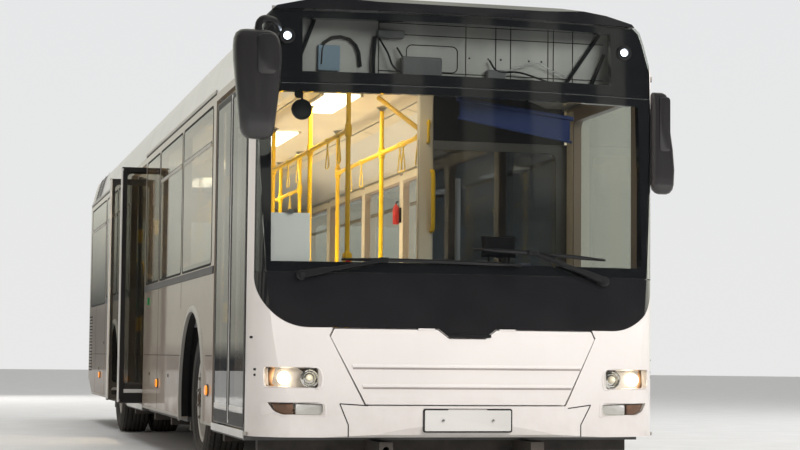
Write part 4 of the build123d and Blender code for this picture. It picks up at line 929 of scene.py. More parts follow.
# Mirrors on the front corners and the wipers


KERB_MIRROR = -0.246
DRIVER_MIRROR = 0.335
KERB_HEAD = [
    (1.984, -1.330, -1.262, 0.012, 0.012, 0.02), (1.990, -1.368, -1.236, 0.034, 0.026, 0.03),
    (2.006, -1.388, -1.219, 0.050, 0.040, 0.04), (2.040, -1.400, -1.210, 0.062, 0.050, 0.045),
    (2.100, -1.408, -1.203, 0.070, 0.056, 0.05), (2.200, -1.419, -1.193, 0.074, 0.060, 0.05),
    (2.310, -1.431, -1.182, 0.078, 0.060, 0.05), (2.425, -1.443, -1.176, 0.080, 0.060, 0.05),
    (2.500, -1.446, -1.178, 0.078, 0.060, 0.05), (2.545, -1.443, -1.188, 0.072, 0.058, 0.05),
    (2.575, -1.432, -1.205, 0.058, 0.050, 0.045), (2.592, -1.410, -1.235, 0.038, 0.034, 0.03),
    (2.598, -1.380, -1.270, 0.016, 0.014, 0.02),
]
DRIVER_HEAD = [
    (1.804, 1.312, 1.366, 0.010, 0.012, 0.016), (1.812, 1.290, 1.386, 0.028, 0.026, 0.03),
    (1.832, 1.270, 1.402, 0.040, 0.036, 0.035), (1.864, 1.262, 1.410, 0.046, 0.042, 0.04),
    (1.955, 1.262, 1.414, 0.048, 0.044, 0.04), (2.080, 1.262, 1.404, 0.048, 0.044, 0.04),
    (2.205, 1.262, 1.386, 0.047, 0.044, 0.04), (2.330, 1.262, 1.378, 0.045, 0.044, 0.04),
    (2.400, 1.262, 1.374, 0.040, 0.040, 0.035), (2.424, 1.264, 1.362, 0.030, 0.032, 0.03),
    (2.436, 1.272, 1.340, 0.014, 0.016, 0.014),
]


def mirror_head(shape, levels, y):
    """A mirror's housing from rows of height, both x, depth in front and behind, and corner radius."""
    rings = []
    for z, x0, x1, ahead, behind, radius in levels:
        line = rounded(x1 - x0, ahead + behind, min(radius, (x1 - x0) * 0.49, (ahead + behind) * 0.49), 5)
        rings.append([Vector(((x0 + x1) / 2 + u, y + (behind - ahead) / 2 + v, z)) for u, v in line])
    skin(shape, rings)


def upright_plate(shape, x, y, z, width, height, radius, way, low, high, edge):
    """A round-cornered plate across the bus, facing backwards, or forwards where way is -1."""
    plate(shape, rounded(width, height, radius, 5), lambda u, v, w: Vector((x + u, y + way * w, z + v)), low,
          high, edge)


def make_mirrors():
    """Both mirrors: housings with their raised caps, glasses and arms."""
    head, cap, glass, arm = form(), form(), form(), form()
    kerb, driver = FRONT + KERB_MIRROR, FRONT + DRIVER_MIRROR
    mirror_head(head, KERB_HEAD, kerb)
    mirror_head(head, DRIVER_HEAD, driver)
    finish(head, "mirror_housings", "mirror_black", stands_for=("mirrors",), smooth=60)
    upright_plate(cap, -1.2655, kerb - 0.077, 2.452, 0.108, 0.225, 0.03, -1, -0.006, 0.007, 0.004)
    upright_plate(cap, 1.338, driver - 0.046, 2.235, 0.070, 0.34, 0.02, -1, -0.006, 0.007, 0.004)
    pipe(cap, [(1.2635, 0.345, 1.87), (1.260, 0.345, 2.05), (1.2635, 0.345, 2.30)], 0.017)
    finish(cap, "mirror_caps", "mirror_black", smooth=60)
    for x, along_bus, z, width, height, radius in (
            (-1.312, -0.1855, 2.36, 0.210, 0.32, 0.05), (-1.310, -0.1870, 2.11, 0.165, 0.12, 0.04),
            (1.320, 0.3805, 2.19, 0.094, 0.34, 0.035), (1.335, 0.3805, 1.925, 0.110, 0.11, 0.035)):
        upright_plate(glass, x, FRONT + along_bus, z, width, height, radius, 1, -0.012, 0.0012, 0.001)
    finish(glass, "mirror_glasses", "chrome")
    pipe(arm, [(-1.305, -0.243, 2.56), (-1.300, -0.243, 2.635), (-1.265, -0.216, 2.668),
               (-1.20, -0.13, 2.676),
               (-1.15, 0.02, 2.680), (-1.12, 0.15, 2.682)], 0.021, 14, 6)
    lathe(arm, [(0.048, 0.0), (0.048, 0.012), (0.036, 0.022), (0.022, 0.026)],
          on_face(-1.13, 2.680, -0.004), (-0.25, -1, 0), 24)
    lathe(arm, [(0.036, 0.0), (0.036, 0.03), (0.028, 0.042)], at(-1.305, -0.243, 2.55), (0, 0, 1), 20)
    for z0, z1 in ((2.33, 2.34), (1.91, 1.90)):
        pipe(arm, [(1.292, 0.330, z0), (1.262, 0.338, z1), (1.236, 0.345, z1)], 0.018, 12, 6)
    pipe(arm, [(1.275, 0.345, 1.86), (1.268, 0.345, 2.12), (1.275, 0.345, 2.38)], 0.015, 12, 6)
    finish(arm, "mirror_arms", "satin_black", smooth=60)


def make_wipers():
    """Tapered arms, curved blades, clips and pivot caps over the two wipers."""
    shape = form()
    arm_rows = ((0.0, 0.024, 0.034), (0.06, 0.024, 0.048), (0.3, 0.019, 0.052), (0.36, 0.013, 0.050),
                (0.95, 0.010, 0.050), (1.02, 0.007, 0.046))
    blade = ((0.012, 0.014), (0.009, 0.030), (0.0, 0.036), (-0.009, 0.030), (-0.012, 0.014), (0.0, 0.005))
    for x, z, tip_x, tip_z, x0, z0, x1, z1 in ((-0.970, 1.250, -0.50, 1.340, -0.742, 1.345, 0.332, 1.330),
                                               (0.870, 1.245, 0.40, 1.401, 0.038, 1.420, 0.872, 1.375)):
        lathe(shape, [(0.030, -0.01), (0.030, 0.014), (0.022, 0.024), (0.0, 0.026)],
              on_face(x, z, 0.012), (0, -1, 0.07), 20)
        arm = Vector((tip_x - x, tip_z - z))
        across = Vector((-arm.y, arm.x)).normalized()
        rings = []
        for share, half, high in arm_rows:
            u, v = x + arm.x * share, z + arm.y * share
            rings.append([on_face(u + across.x * off, v + across.y * off, out) for off, out in
                          ((half, 0.030), (half * 0.8, high), (-half * 0.8, high), (-half, 0.030))])
        skin(shape, rings)
        rings = []
        for k in range(17):
            share = k / 16
            thin = 0.45 + 0.55 * min(1.0, 6 * share, 6 * (1 - share))
            u, v = x0 + (x1 - x0) * share, z0 + (z1 - z0) * share + 0.006 * (4 * share * (1 - share) - 0.6)
            rings.append([on_face(u, v + off * thin, out) for off, out in blade])
        skin(shape, rings)
        face_pad(shape, rounded(0.066, 0.030, 0.010), tip_x, tip_z,
                 [(1.0, 0.020), (1.0, 0.044), (0.8, 0.052)])
    finish(shape, "wiper_covers", "satin_black", slot="wiper_black")


make_mirrors()
make_wipers()


# Sides: belt, gutter, seams, lamps, louvres, arch lips and pane edges


SIDE_START = 0.285
SIDE_END = 11.70
WALLS = {-1: [(SIDE_START, PORTALS[0]), (PORTALS[0] + PORTAL, PORTALS[1]), (PORTALS[1] + PORTAL, SIDE_END)],
         1: [(SIDE_START, SIDE_END)]}
BELTS = {-1: [(1.70, 5.80), (7.20, 9.66)], 1: [(1.66, 9.66)]}
SEAMS = {-1: [3.35, 4.79, 7.9, 9.70, 10.85], 1: [1.64, 3.35, 4.79, 6.38, 7.9, 9.70, 10.85]}
SEAMS_ALONG = {-1: [(1.72, 2.02), (3.36, 5.80), (7.20, 7.90), (9.22, 11.2)],
               1: [(0.30, 2.02), (3.36, 7.90), (9.22, 11.2)]}
SIDE_AXLES = (2.7, 8.575)


def side_strip(shape, side, start, end, low, high, thick=0.004, deep=0.004):
    """A flat strip on a side wall."""
    a = side_point(side, start, low, -deep)
    b = side_point(side, end, high, thick)
    bar(shape, [min(a[i], b[i]) for i in range(3)], [max(a[i], b[i]) for i in range(3)], min(thick, 0.003), 1)


def side_ring(shape, side, start, end, low, high, width, thick, radius=0.05, deep=0.003):
    """A frame round a pane on a side wall."""
    rings = []
    for grown, out in ((0.0, -deep), (0.0, thick), (-width, thick), (-width, -deep)):
        line = rounded(end - start + 2 * grown, high - low + 2 * grown, max(radius + grown, 0.012), 5)
        rings.append([side_point(side, (start + end) / 2 + u, (low + high) / 2 + v, out) for u, v in line])
    skin(shape, rings, loop=True)


def make_strips():
    """Seams, pane borders, belts, gutters and skirt rails of the two side walls, with their small locks."""
    dark, belts, rails = form(), form(), form()
    for side, panes in SIDES:
        for start, end in WALLS[side]:
            side_strip(dark, side, start + 0.004, end - 0.004, GUTTER - 0.006, GUTTER + 0.004, 0.0012)
            side_strip(rails, side, start + 0.006, end - 0.006, GUTTER + 0.006, GUTTER + 0.030, 0.006)
            for low, high in ((0.0, 2.04), (3.36, 7.915), (9.235, 11.2)):
                first, last = max(start + 0.006, low), min(end - 0.006, high)
                if last > first:
                    side_strip(rails, side, first, last, SKIRT + 0.001, SKIRT + 0.022, 0.004)
        for start, end, low in panes:
            side_ring(dark, side, start - 0.004, end + 0.004, low - 0.004, PANE_TOP + 0.004, 0.016, 0.0015)
            if end - start > 1.0 and start > 1.0:
                side_strip(rails, side, start + 0.06, end - 0.06, 2.176, 2.204, 0.006, 0.001)
                side_strip(dark, side, start + 0.06, end - 0.06, 2.204, 2.210, 0.002, 0.001)
        for start, end in BELTS[side]:
            side_strip(belts, side, start, end, 1.318, 1.368, 0.009)
        for y in SEAMS[side]:
            low = 0.34 if min(abs(y - axle) for axle in SIDE_AXLES) > 0.75 else 1.12
            side_strip(dark, side, y - 0.003, y + 0.003, low, 1.316, 0.0008)
        for start, end in SEAMS_ALONG[side]:
            side_strip(dark, side, start, end, 0.775, 0.780, 0.0008)
        for y, z in ((9.72, 0.9), (4.0, 0.62), (5.3, 0.62), (10.3, 0.62)):
            lathe(dark, [(0.014, 0.0), (0.014, 0.004), (0.010, 0.006), (0.0, 0.006)],
                  side_point(side, y + 0.05, z, -0.002), (side, 0, 0), 16)
    finish(dark, "side_seams", "seam_dark")
    finish(belts, "belt_strips", "belt_grey")
    finish(rails, "side_rails", "side_rail")


def make_arches():
    """Lips round the wheel arches and the dark linings behind them."""
    lips, linings = form(), form()

    def swept(shape, side, axle, turns, section):
        skin(shape, [[side_point(side, axle + radius * math.cos(turn), WHEEL_Z + radius * math.sin(turn), out)
                      for radius, out in section] for turn in (math.radians(a) for a in turns)])

    for side in (-1, 1):
        for axle in SIDE_AXLES:
            swept(lips, side, axle, range(-16, 197, 5),
                  ((0.609, -0.010), (0.609, 0.012), (0.622, 0.016), (0.650, 0.008), (0.656, -0.002)))
            wide = range(-14, 195, 8)
            for reach, near, deep in ((0.6244, -0.061, -0.698), (0.6092, -0.010, -0.0615)):
                swept(linings, side, axle, wide,
                      ((reach, near), (reach, deep), (reach - 0.0013, deep), (reach - 0.0013, near)))
            back = [(math.cos(math.radians(a)), math.sin(math.radians(a))) for a in wide]
            skin(linings, [[side_point(side, axle + 0.6235 * c, WHEEL_Z + 0.6235 * s, out) for c, s in back]
                           for out in (-0.6995, -0.6985)])
    finish(lips, "arch_lips", "side_rail", smooth=60)
    finish(linings, "arch_linings", "arch_dark", smooth=60)


def make_side_markers():
    """Small orange lamps along the skirt, each on its base."""
    lamps, bases = form(), form()
    layers = ((bases, rounded(0.108, 0.080, 0.037), -0.002, 0.006, 0.002),
              (lamps, rounded(0.092, 0.066, 0.031), 0.004, 0.018, 0.005))
    for side in (-1, 1):
        for y in (1.90, 4.76, 7.6, 10.2):
            spot = side_point(side, y, 0.55)
            for shape, outline, low, high, edge in layers:
                plate(shape, outline, lambda u, v, w: spot + Vector((side * w, u, v)), low, high, edge)
    finish(bases, "side_marker_bases", "satin_black")
    finish(lamps, "side_markers", "orange_lens")


def make_louvres():
    """Slats at the rear corners, low on the walls and high on the roof's edge, over dark backs."""
    for side, name in ((-1, "kerb_louvre_low"), (1, "driver_louvre_low")):
        slat = form()
        x0, x1 = sorted((side * (HALF + 0.005), side * (HALF - 0.012)))
        box(slat, x0, x1, 11.33, 11.69, 0.60, 0.618)
        repeated(slat, name, "side_paint_painted_shade", 17, 0.036)
    backs, slats = form(), form()
    for side in (-1, 1):
        side_strip(backs, side, 11.32, 11.70, 0.585, 1.21, 0.0012)
    for side in (-1, 1):
        skin(backs, [[at(side * x, y, z) for x, z in
                      ((1.2345, 2.560), (1.1885, 2.727), (1.1665, 2.792), (1.1535, 2.809), (1.140, 2.800),
                       (1.155, 2.785), (1.178, 2.722), (1.222, 2.560))] for y in (10.58, 11.42)])
    finish(backs, "louvre_backs", "seam_dark")
    for side in (-1, 1):
        for k in range(8):
            z = 2.563 + 0.0315 * k
            x = 1.2345 - (z - 2.560) * 0.2755 if z < 2.727 else 1.1885 - (z - 2.727) * 0.3385
            skin(slats, [[at(side * (x + off), y, z + up) for off, up in
                          ((-0.003, 0.004), (0.006, 0.003), (0.008, -0.003), (-0.002, -0.002))]
                         for y in (10.575, 11.425)])
        for y in (10.56, 11.00, 11.42):
            skin(slats, [[Vector((side * x, FRONT + y + off, z)) for x, z in
                          ((1.2405, 2.552), (1.1935, 2.729), (1.1625, 2.815), (1.150, 2.812), (1.180, 2.722),
                           (1.225, 2.552))] for off in (0.0, 0.02)])
    finish(slats, "roof_louvres", "roof_paint")


def make_doorway_trims():
    """The green release beside the middle doorway and the sills under both."""
    release, sills = form(), form()
    side_strip(release, -1, 5.44, 5.49, 1.20, 1.26, 0.016)
    finish(release, "door_release", "green_plastic")
    for start in PORTALS:
        side_strip(sills, -1, start + 0.006, start + PORTAL - 0.006, 0.300, 0.346, 0.006, 0.004)
    finish(sills, "door_sills", "sill_metal")


make_strips()
make_arches()
make_side_markers()
make_louvres()
make_doorway_trims()


# Doors: seals, kick rails, glass borders and sleeves


def make_door_dress(door):
    """A leaf's kick rail, rubber seals and edge strip, and the yellow sleeves on its turning column."""
    low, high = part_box(f"door_{door}_leaf")
    glass_low, glass_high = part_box(f"door_{door}_glass")
    wide = 1 if high[1] - low[1] > high[0] - low[0] else 0
    thin = 1 - wide
    leaf = f"door_{door}"
    rail, seal, strip, sleeves = form(), form(), form(), form()

    def slab(shape, start, end, bottom, top, proud, edge):
        a, b = [0, 0, bottom], [0, 0, top]
        a[wide], b[wide] = start, end
        a[thin], b[thin] = glass_low[thin] - proud, glass_high[thin] + proud
        bar(shape, a, b, edge, 1)

    start, end = glass_low[wide], glass_high[wide]
    slab(rail, start + 0.034, end - 0.034, 0.444, 0.478, 0.003, 0.004)
    finish(rail, leaf + "_kick_rails", "sill_metal", leaf)
    for place in (start + 0.014, end - 0.014):
        slab(seal, place - 0.020, place + 0.020, glass_low[2] + 0.02, glass_high[2] - 0.02, 0.0015, 0.001)
    for z in (glass_low[2] + 0.012, glass_high[2] - 0.012):
        slab(seal, start + 0.02, end - 0.02, z - 0.018, z + 0.018, 0.0015, 0.001)
    slab(seal, start + 0.034, end - 0.034, glass_low[2] + 0.026, 0.440, 0.001, 0.0005)
    finish(seal, leaf + "_seals", "door_rubber", leaf)
    edge = high[wide] if door == "front_a" else low[wide]
    inwards = -0.012 if edge == high[wide] else 0.012
    a, b = [0, 0, low[2] + 0.03], [0, 0, high[2] - 0.03]
    a[wide], b[wide] = sorted((edge + inwards, edge - inwards / 6))
    a[thin], b[thin] = low[thin] - 0.001, high[thin] + 0.001
    bar(strip, a, b, 0.002, 1)
    finish(strip, leaf + "_edge", "sill_metal", leaf)
    start = PORTALS[DOORS.index(door) // 2]
    y = start + 0.007 if door.endswith("_a") else start + PORTAL - 0.007
    for z in (1.06, 1.89):
        lathe(sleeves, [(0.0222, -0.067), (0.0268, -0.062), (0.0275, -0.05), (0.0262, 0.0), (0.0275, 0.05),
                        (0.0268, 0.062), (0.0222, 0.067)], at(-1.16, y, z), (0, 0, 1), 20)
    finish(sleeves, leaf + "_sleeves", "rail_yellow", leaf + "_arm")


for door in DOORS:
    make_door_dress(door)


# Cabin: liner, lamps, rails, straps, cab and what hangs behind the screen


def boxed(name, material, *rows, slot=None):
    """A piece made of boxes alone."""
    shape = form()
    for row in rows:
        box(shape, *row)
    finish(shape, name, material, slot=slot)


def make_liner():
    """The cream lining of the ceiling, its coving and the window pillars."""
    shape, marks, trims, pillars, panels = form(), form(), form(), form(), form()
    section = [(-1.186, 2.494), (-0.46, 2.698), (0.0, 2.7085), (0.46, 2.698), (1.186, 2.494)]
    outline = section + [(x, z - 0.004) for x, z in reversed(section)]
    skin(shape, [[at(x, y, z) for x, z in outline] for y in (0.46, 1.4, 2.9, 4.4, 5.9, 7.4, 8.9, 10.4, 11.5)])
    finish(shape, "ceiling_liner", "liner_cream", smooth=20)
    for side in (-1, 1):
        normal = Vector((-side * 0.27, 0, -0.962))
        for k in range(7):
            low, high = at(side * 1.16, 1.9 + 1.5 * k, 2.4975), at(side * 0.47, 1.9 + 1.5 * k, 2.6915)
            tube(trims, [low, high], 0.003, 6)
            for step in (0.35, 0.85, 1.15) if k < 6 else (0.35,):
                spot = low.lerp(high, 0.42) + Vector((0, step, 0))
                for n in range(6):
                    dot = spot + Vector((0, 0.011 * n, 0)) + normal * 0.001
                    lathe(marks, [(0.0035, -0.002), (0.0035, 0.0012)], dot, normal, 6)
        for x, z, radius in ((0.455, 2.692, 0.006), (1.165, 2.493, 0.009)):
            pipe(trims, [(side * x, 0.6, z), (side * x, 11.4, z)], radius, 6)
    finish(marks, "coving_holes", "seam_dark")
    finish(trims, "ceiling_trims", "alu")
    for side, panes in SIDES:
        near, far = sorted((side * 1.1835, side * 1.1895))
        for (_, start, _), (end, _, _) in zip(panes, panes[1:]):
            if end - start < 0.5:
                box(pillars, near, far, start - 0.03, end + 0.03, 1.0, 2.47)
        for start, end, low in panes:
            if start > 1.0:
                box(pillars, near, far, start + 0.03, end - 0.03, 2.42, 2.49)
                box(panels, near, far, start + 0.03, end - 0.03, 0.98, low + 0.018)
    finish(pillars, "pillar_liners", "liner_cream")
    finish(panels, "wall_liners", "cab_grey")


def make_ceiling_lamps():
    """Long lamp panels on the kerb side of the ceiling."""
    glass, frames = form(), form()
    for start in (2.8, 5.2, 7.4, 9.6):
        box(glass, -0.305, -0.026, start, start + 1.0, 2.682, 2.697, 0.006)
        box(frames, -0.325, -0.303, start - 0.02, start + 1.02, 2.678, 2.700, 0.004)
        box(frames, -0.028, -0.006, start - 0.02, start + 1.02, 2.678, 2.702, 0.004)
    finish(glass, "ceiling_lamps", "ceiling_glow")
    finish(frames, "ceiling_lamp_frames", "liner_cream")


AISLE = 0.28
POLES = [(AISLE, y) for y in (3.4, 5.0, 6.7, 7.7, 9.43)] + [(-AISLE, y) for y in (2.05, 3.4, 4.98, 7.5, 9.43)]
RAILS = [(AISLE, 2.15, 3.4), (AISLE, 3.4, 5.0), (AISLE, 6.7, 7.7), (AISLE, 7.7, 9.43)]
RAILS += [(-AISLE, 2.05, 3.4), (-AISLE, 3.4, 4.98), (-AISLE, 7.5, 9.43)]
STRAPS = [(AISLE, y) for y in (2.30, 2.72, 2.82, 4.1, 4.5)]
STRAPS += [(-AISLE, y) for y in (2.35, 2.75, 3.9, 4.3, 8.1, 8.6)]
STRAPS += [(AISLE, y) for y in (7.2, 8.3, 8.8)]
FLANGE = [(0.042, 0.0), (0.042, 0.006), (0.030, 0.012), (0.0195, 0.030)]


def make_rail_fittings():
    """Clamps where rails meet poles, flanges at floor and ceiling, and push-button boxes."""
    clamps, flanges, boxes, buttons = form(), form(), form(), form()
    for x, along_bus in POLES:
        y = FRONT + along_bus
        lathe(clamps, [(0.0195, -0.045), (0.024, -0.040), (0.024, 0.040), (0.0195, 0.045)],
              (x, y, RAIL_Z), (0, 0, 1), 16)
        for z, way in ((FLOOR + 0.001, 1), (2.694, -1)):
            lathe(flanges, FLANGE, (x, y, z), (0, 0, way), 18)
        bar(boxes, (x - 0.030, y - 0.034, 1.36), (x + 0.030, y + 0.030, 1.50), 0.012, 3)
        lathe(buttons, [(0.017, 0.0), (0.017, 0.006), (0.012, 0.009), (0.0, 0.010)],
              (x, y - 0.034, 1.43), FORWARD, 16)
    for x, start, end in RAILS:
        for y in (start + 0.03, end - 0.03):
            lathe(clamps, [(0.0195, -0.028), (0.0235, -0.024), (0.0235, 0.024), (0.0195, 0.028)],
                  at(x, y, RAIL_Z), (0, 1, 0), 16)
    finish(clamps, "rail_clamps", "rail_yellow")
    finish(flanges, "pole_flanges", "alu")
    finish(boxes, "stop_boxes", "rail_yellow")
    finish(buttons, "stop_buttons", "red_plastic")


def make_straps():
    """Grab loops hung from the rails."""
    shape = form()
    loop = [(0.0, 0.0), (0.030, -0.055), (0.052, -0.115), (0.046, -0.142), (0.0, -0.150), (-0.046, -0.142),
            (-0.052, -0.115), (-0.030, -0.055), (0.0, 0.0)]
    for x, along_bus in STRAPS:
        y = FRONT + along_bus
        lathe(shape, [(0.0195, -0.014), (0.023, -0.011), (0.023, 0.011), (0.0195, 0.014)], (x, y, RAIL_Z),
              (0, 1, 0), 14)
        tube(shape, [(x, y, RAIL_Z - 0.02), (x, y, RAIL_Z - 0.052)], 0.007, 8)
        path = [Vector((x, y + u, RAIL_Z - 0.052 + w)) for u, w in loop]
        tube(shape, eased(path, 3)[:-1], 0.0052, 7, closed=True)
    finish(shape, "grab_loops", "strap_yellow", smooth=60)


def make_cab():
    """The driver's cab: header, dark pane, column, grab rails, instruments and vents."""
    boxed("cab_header", "cab_dark", (0.145, 1.17, 1.702, 1.722, 2.251, 2.66),
          (0.150, 0.230, 1.702, 1.722, 1.30, 2.26), (0.133, 0.153, 0.80, 0.83, 1.275, 1.36))
    boxed("cab_pane", "cab_glass", (0.185, 1.115, 1.708, 1.716, 1.345, 2.195, 0.002))
    boxed("cab_column", "liner_cream", (0.1285, 0.235, 1.694, 1.745, 1.282, 2.690, 0.010))
    grab, panel, vents = form(), form(), form()
    pipe(grab, [(0.222, 1.69, 1.63), (0.222, 1.655, 1.66), (0.222, 1.65, 1.84), (0.222, 1.655, 2.01),
                (0.222, 1.69, 2.04)], 0.015, 12, 5)
    pipe(grab, [(0.19, 1.695, 2.36), (0.192, 1.66, 2.375), (0.185, 1.65, 2.30), (0.19, 1.66, 2.24),
                (0.19, 1.695, 2.23)], 0.010, 10, 5)
    finish(grab, "cab_grab", "rail_yellow", smooth=60)
    plate(panel, rounded(0.42, 0.12, 0.03), lambda u, v,
          w: Vector((0.64 + u, FRONT + 0.545 - v * 0.80 - w * 0.6,
                                                                    1.195 + v * 0.62 + w * 0.8)), 0.0, 0.008,
          0.003)
    for x in (0.22, 0.30):
        box(panel, x, x + 0.055, 0.40, 0.50, 1.175, 1.20, 0.006)
    finish(panel, "instrument_panel", "gloss_black")
    for x in (0.95, 1.02, 1.09):
        lathe(vents, [(0.022, 0.0), (0.022, 0.006), (0.016, 0.009), (0.0, 0.009)], at(x, 0.42, 1.180),
              (0, 0.35, 0.94), 16)
    for x in (-0.30, -0.10):
        box(vents, x, x + 0.12, 0.16, 0.19, 1.196, 1.214, 0.004)
    finish(vents, "dash_vents", "satin_black", slot="dash_plastic")


def make_screen_things():
    """The paper sheet, the blind, the inner mirrors and the header behind the windscreen."""
    paper, clip, blind, mirrors, faces, header = form(), form(), form(), form(), form(), form()
    corners = ((-1.144, 1.338), (-0.917, 1.338), (-0.917, 1.622), (-1.144, 1.622))
    skin(paper, [[on_face(x, z, out) for x, z in corners] for out in (-0.075, -0.0735)])
    finish(paper, "paper_sheet", "paper")
    skin(clip, [[on_face(-1.03 + u, 1.628 + v, out) for u, v in rounded(0.034, 0.028, 0.01)]
                for out in (-0.078, -0.060)])
    finish(clip, "paper_clip", "alu")
    line = [(0.02, 2.33), (0.72, 2.24), (0.72, 2.10), (0.02, 2.22)]
    skin(blind, [[at(x, 0.30 + off, z) for x, z in line] for off in (0.0, 0.0025)])
    pipe(blind, [(0.0, 0.30, 2.336), (0.74, 0.30, 2.244)], 0.014, 10)
    pipe(blind, [(0.01, 0.30, 2.222), (0.73, 0.30, 2.100)], 0.008, 8)
    finish(blind, "sun_blind", "blind")
    lathe(mirrors, [(0.020, 0.02), (0.026, 0.012), (0.026, -0.004), (0.020, -0.008)],
          at(-0.976, 0.25, 2.318), FORWARD, 24)
    lathe(mirrors, [(0.012, 0.03), (0.044, 0.022), (0.060, 0.006), (0.062, -0.012), (0.056, -0.016)],
          at(-0.955, 0.25, 2.228), (0.1, -1, 0), 28)
    pipe(mirrors, [(-0.976, 0.25, 2.33), (-0.976, 0.27, 2.46)], 0.008, 8)
    pipe(mirrors, [(-0.955, 0.25, 2.25), (-0.96, 0.27, 2.46)], 0.008, 8)
    finish(mirrors, "inner_mirrors", "satin_black")
    lathe(faces, [(0.054, 0.0), (0.054, 0.002)], at(-0.9566, 0.2662, 2.228), (-0.1, 1, 0), 24)
    lathe(faces, [(0.019, 0.0), (0.019, 0.002)], at(-0.976, 0.258, 2.318), (0, 1, 0), 24)
    finish(faces, "inner_mirror_faces", "chrome")
    section = ((2.36, -0.055), (2.425, -0.055), (2.425, -0.062), (2.36, -0.062))
    skin(header, [[on_face(-1.08 + 2.16 * i / 16, z, out) for z, out in section] for i in range(17)])
    finish(header, "screen_header", "header_grey")


def make_display_box():
    """The compartment behind the upper glass: steel panels, vent, boxes, braces and leads."""
    boxed("display_panels", "steel_panel", (-1.12, 1.12, 0.377, 0.384, 2.43, 2.86, 0.0),
          (-1.04, 1.04, 0.29, 0.384, 2.436, 2.442, 0.0))
    seams, stays, braces, leads = form(), form(), form(), form()
    for z in (2.497, 2.722, 2.79):
        box(seams, -0.47, 0.96, 0.3745, 0.379, z, z + 0.005, 0.0)
    for x in (-0.47, 0.075, 0.265, 0.36, 0.60, 0.635, 0.76):
        box(seams, x, x + 0.005, 0.3745, 0.379, 2.445, 2.795, 0.0)
    tube(seams, [at(-0.135 + u, 0.376, 2.585 + v) for u, v in rounded(0.32, 0.16, 0.035)], 0.003, 6,
         closed=True)
    for x in (0.10, 0.22, 0.30, 0.48, 0.56, 0.80):
        lathe(seams, [(0.006, 0.0), (0.006, 0.003)], at(x, 0.3785, 2.60), FORWARD, 10)
    finish(seams, "display_seams", "seam_dark")
    pipe(stays, [(0.24, 0.352, 2.50), (0.52, 0.345, 2.59), (0.72, 0.352, 2.50)], 0.0035, 6)
    finish(stays, "display_stays", "alu")
    arch = [(-0.822, 2.517), (-0.818, 2.60), (-0.806, 2.649), (-0.76, 2.680), (-0.705, 2.689), (-0.65, 2.676),
            (-0.61, 2.64), (-0.593, 2.60), (-0.582, 2.514)]
    pipe(braces, [(x, 0.366, z) for x, z in arch], 0.011, 8)
    pipe(braces, [(-0.50, 0.360, 2.45), (-0.505, 0.350, 2.56), (-0.495, 0.360, 2.70)], 0.012, 8, 5)
    for x0, z0, x1, z1 in ((-0.98, 2.48, -0.86, 2.80), (0.94, 2.80, 0.72, 2.48), (0.88, 2.47, 0.96, 2.66)):
        pipe(braces, [(x0, 0.355, z0), (x1, 0.360, z1)], 0.012, 8)
    pipe(braces, [(-0.94, 0.335, 2.452), (0.96, 0.335, 2.452)], 0.010, 8)
    finish(braces, "display_braces", "satin_black")
    boxed("display_boxes", "header_grey", (-0.484, -0.318, 0.33, 0.376, 2.694, 2.742, 0.006),
          (-0.337, -0.088, 0.31, 0.376, 2.45, 2.584, 0.008), (0.20, 0.32, 0.33, 0.376, 2.45, 2.53, 0.008))
    boxed("display_vent_panel", "vent_blue", (-0.842, -0.707, 0.357, 0.370, 2.481, 2.635, 0.004))
    for k, (x0, x1) in enumerate(((-0.47, -0.30), (-0.36, -0.10), (0.22, 0.60))):
        pipe(leads, [(x0, 0.352, 2.69 - 0.05 * k), (x0 + 0.05, 0.335, 2.60 - 0.04 * k),
                     ((x0 + x1) / 2, 0.335, 2.52),
                     (x1, 0.345, 2.47)], 0.006, 7, 4)
    finish(leads, "display_leads", "satin_black", smooth=60)


def make_small_items():
    """The red bottle by the driver-side pillar, and step edges by the doors."""
    bottle, bracket = form(), form()
    lathe(bottle, [(0.0, 0.0), (0.024, 0.003), (0.030, 0.012), (0.030, 0.15), (0.022, 0.175), (0.010, 0.185),
                   (0.010, 0.20), (0.0, 0.20)], at(1.135, 6.38, 2.01), (0, 0, 1), 20)
    finish(bottle, "red_bottle", "red_plastic")
    pipe(bracket, [(1.135, 6.38, 2.205), (1.135, 6.35, 2.222), (1.15, 6.345, 2.222)], 0.007, 8)
    bar(bracket, (1.163, FRONT + 6.36, 2.03), (1.186, FRONT + 6.40, 2.17), 0.003)
    finish(bracket, "bottle_bracket", "satin_black")
    boxed("step_edges", "rail_yellow", *[(-1.13, -1.09, start + 0.03, start + PORTAL - 0.03, FLOOR + 0.0005,
                                          FLOOR + 0.004, 0.001) for start in PORTALS])


make_liner()
make_ceiling_lamps()
make_rail_fittings()
make_straps()
make_cab()
make_screen_things()
make_display_box()
make_small_items()


# Seats: one pad puffed up as cloth, then laid on every shell


PUFF_FRAMES = 14
SEAT_ROWS = [(0.74, y, FLOOR, 1, 2) for y in (3.65, 4.43, 5.21, 5.99)]
SEAT_ROWS += [(-0.74, y, FLOOR, 1, 2) for y in (3.65, 4.43, 5.21)]
SEAT_ROWS += [(0.74, 10.42, DECK, 1, 2), (-0.74, 10.42, DECK, 1, 2), (0.74, 11.0, DECK, -1, 2),
              (0.0, 11.47, DECK, 1, 5)]


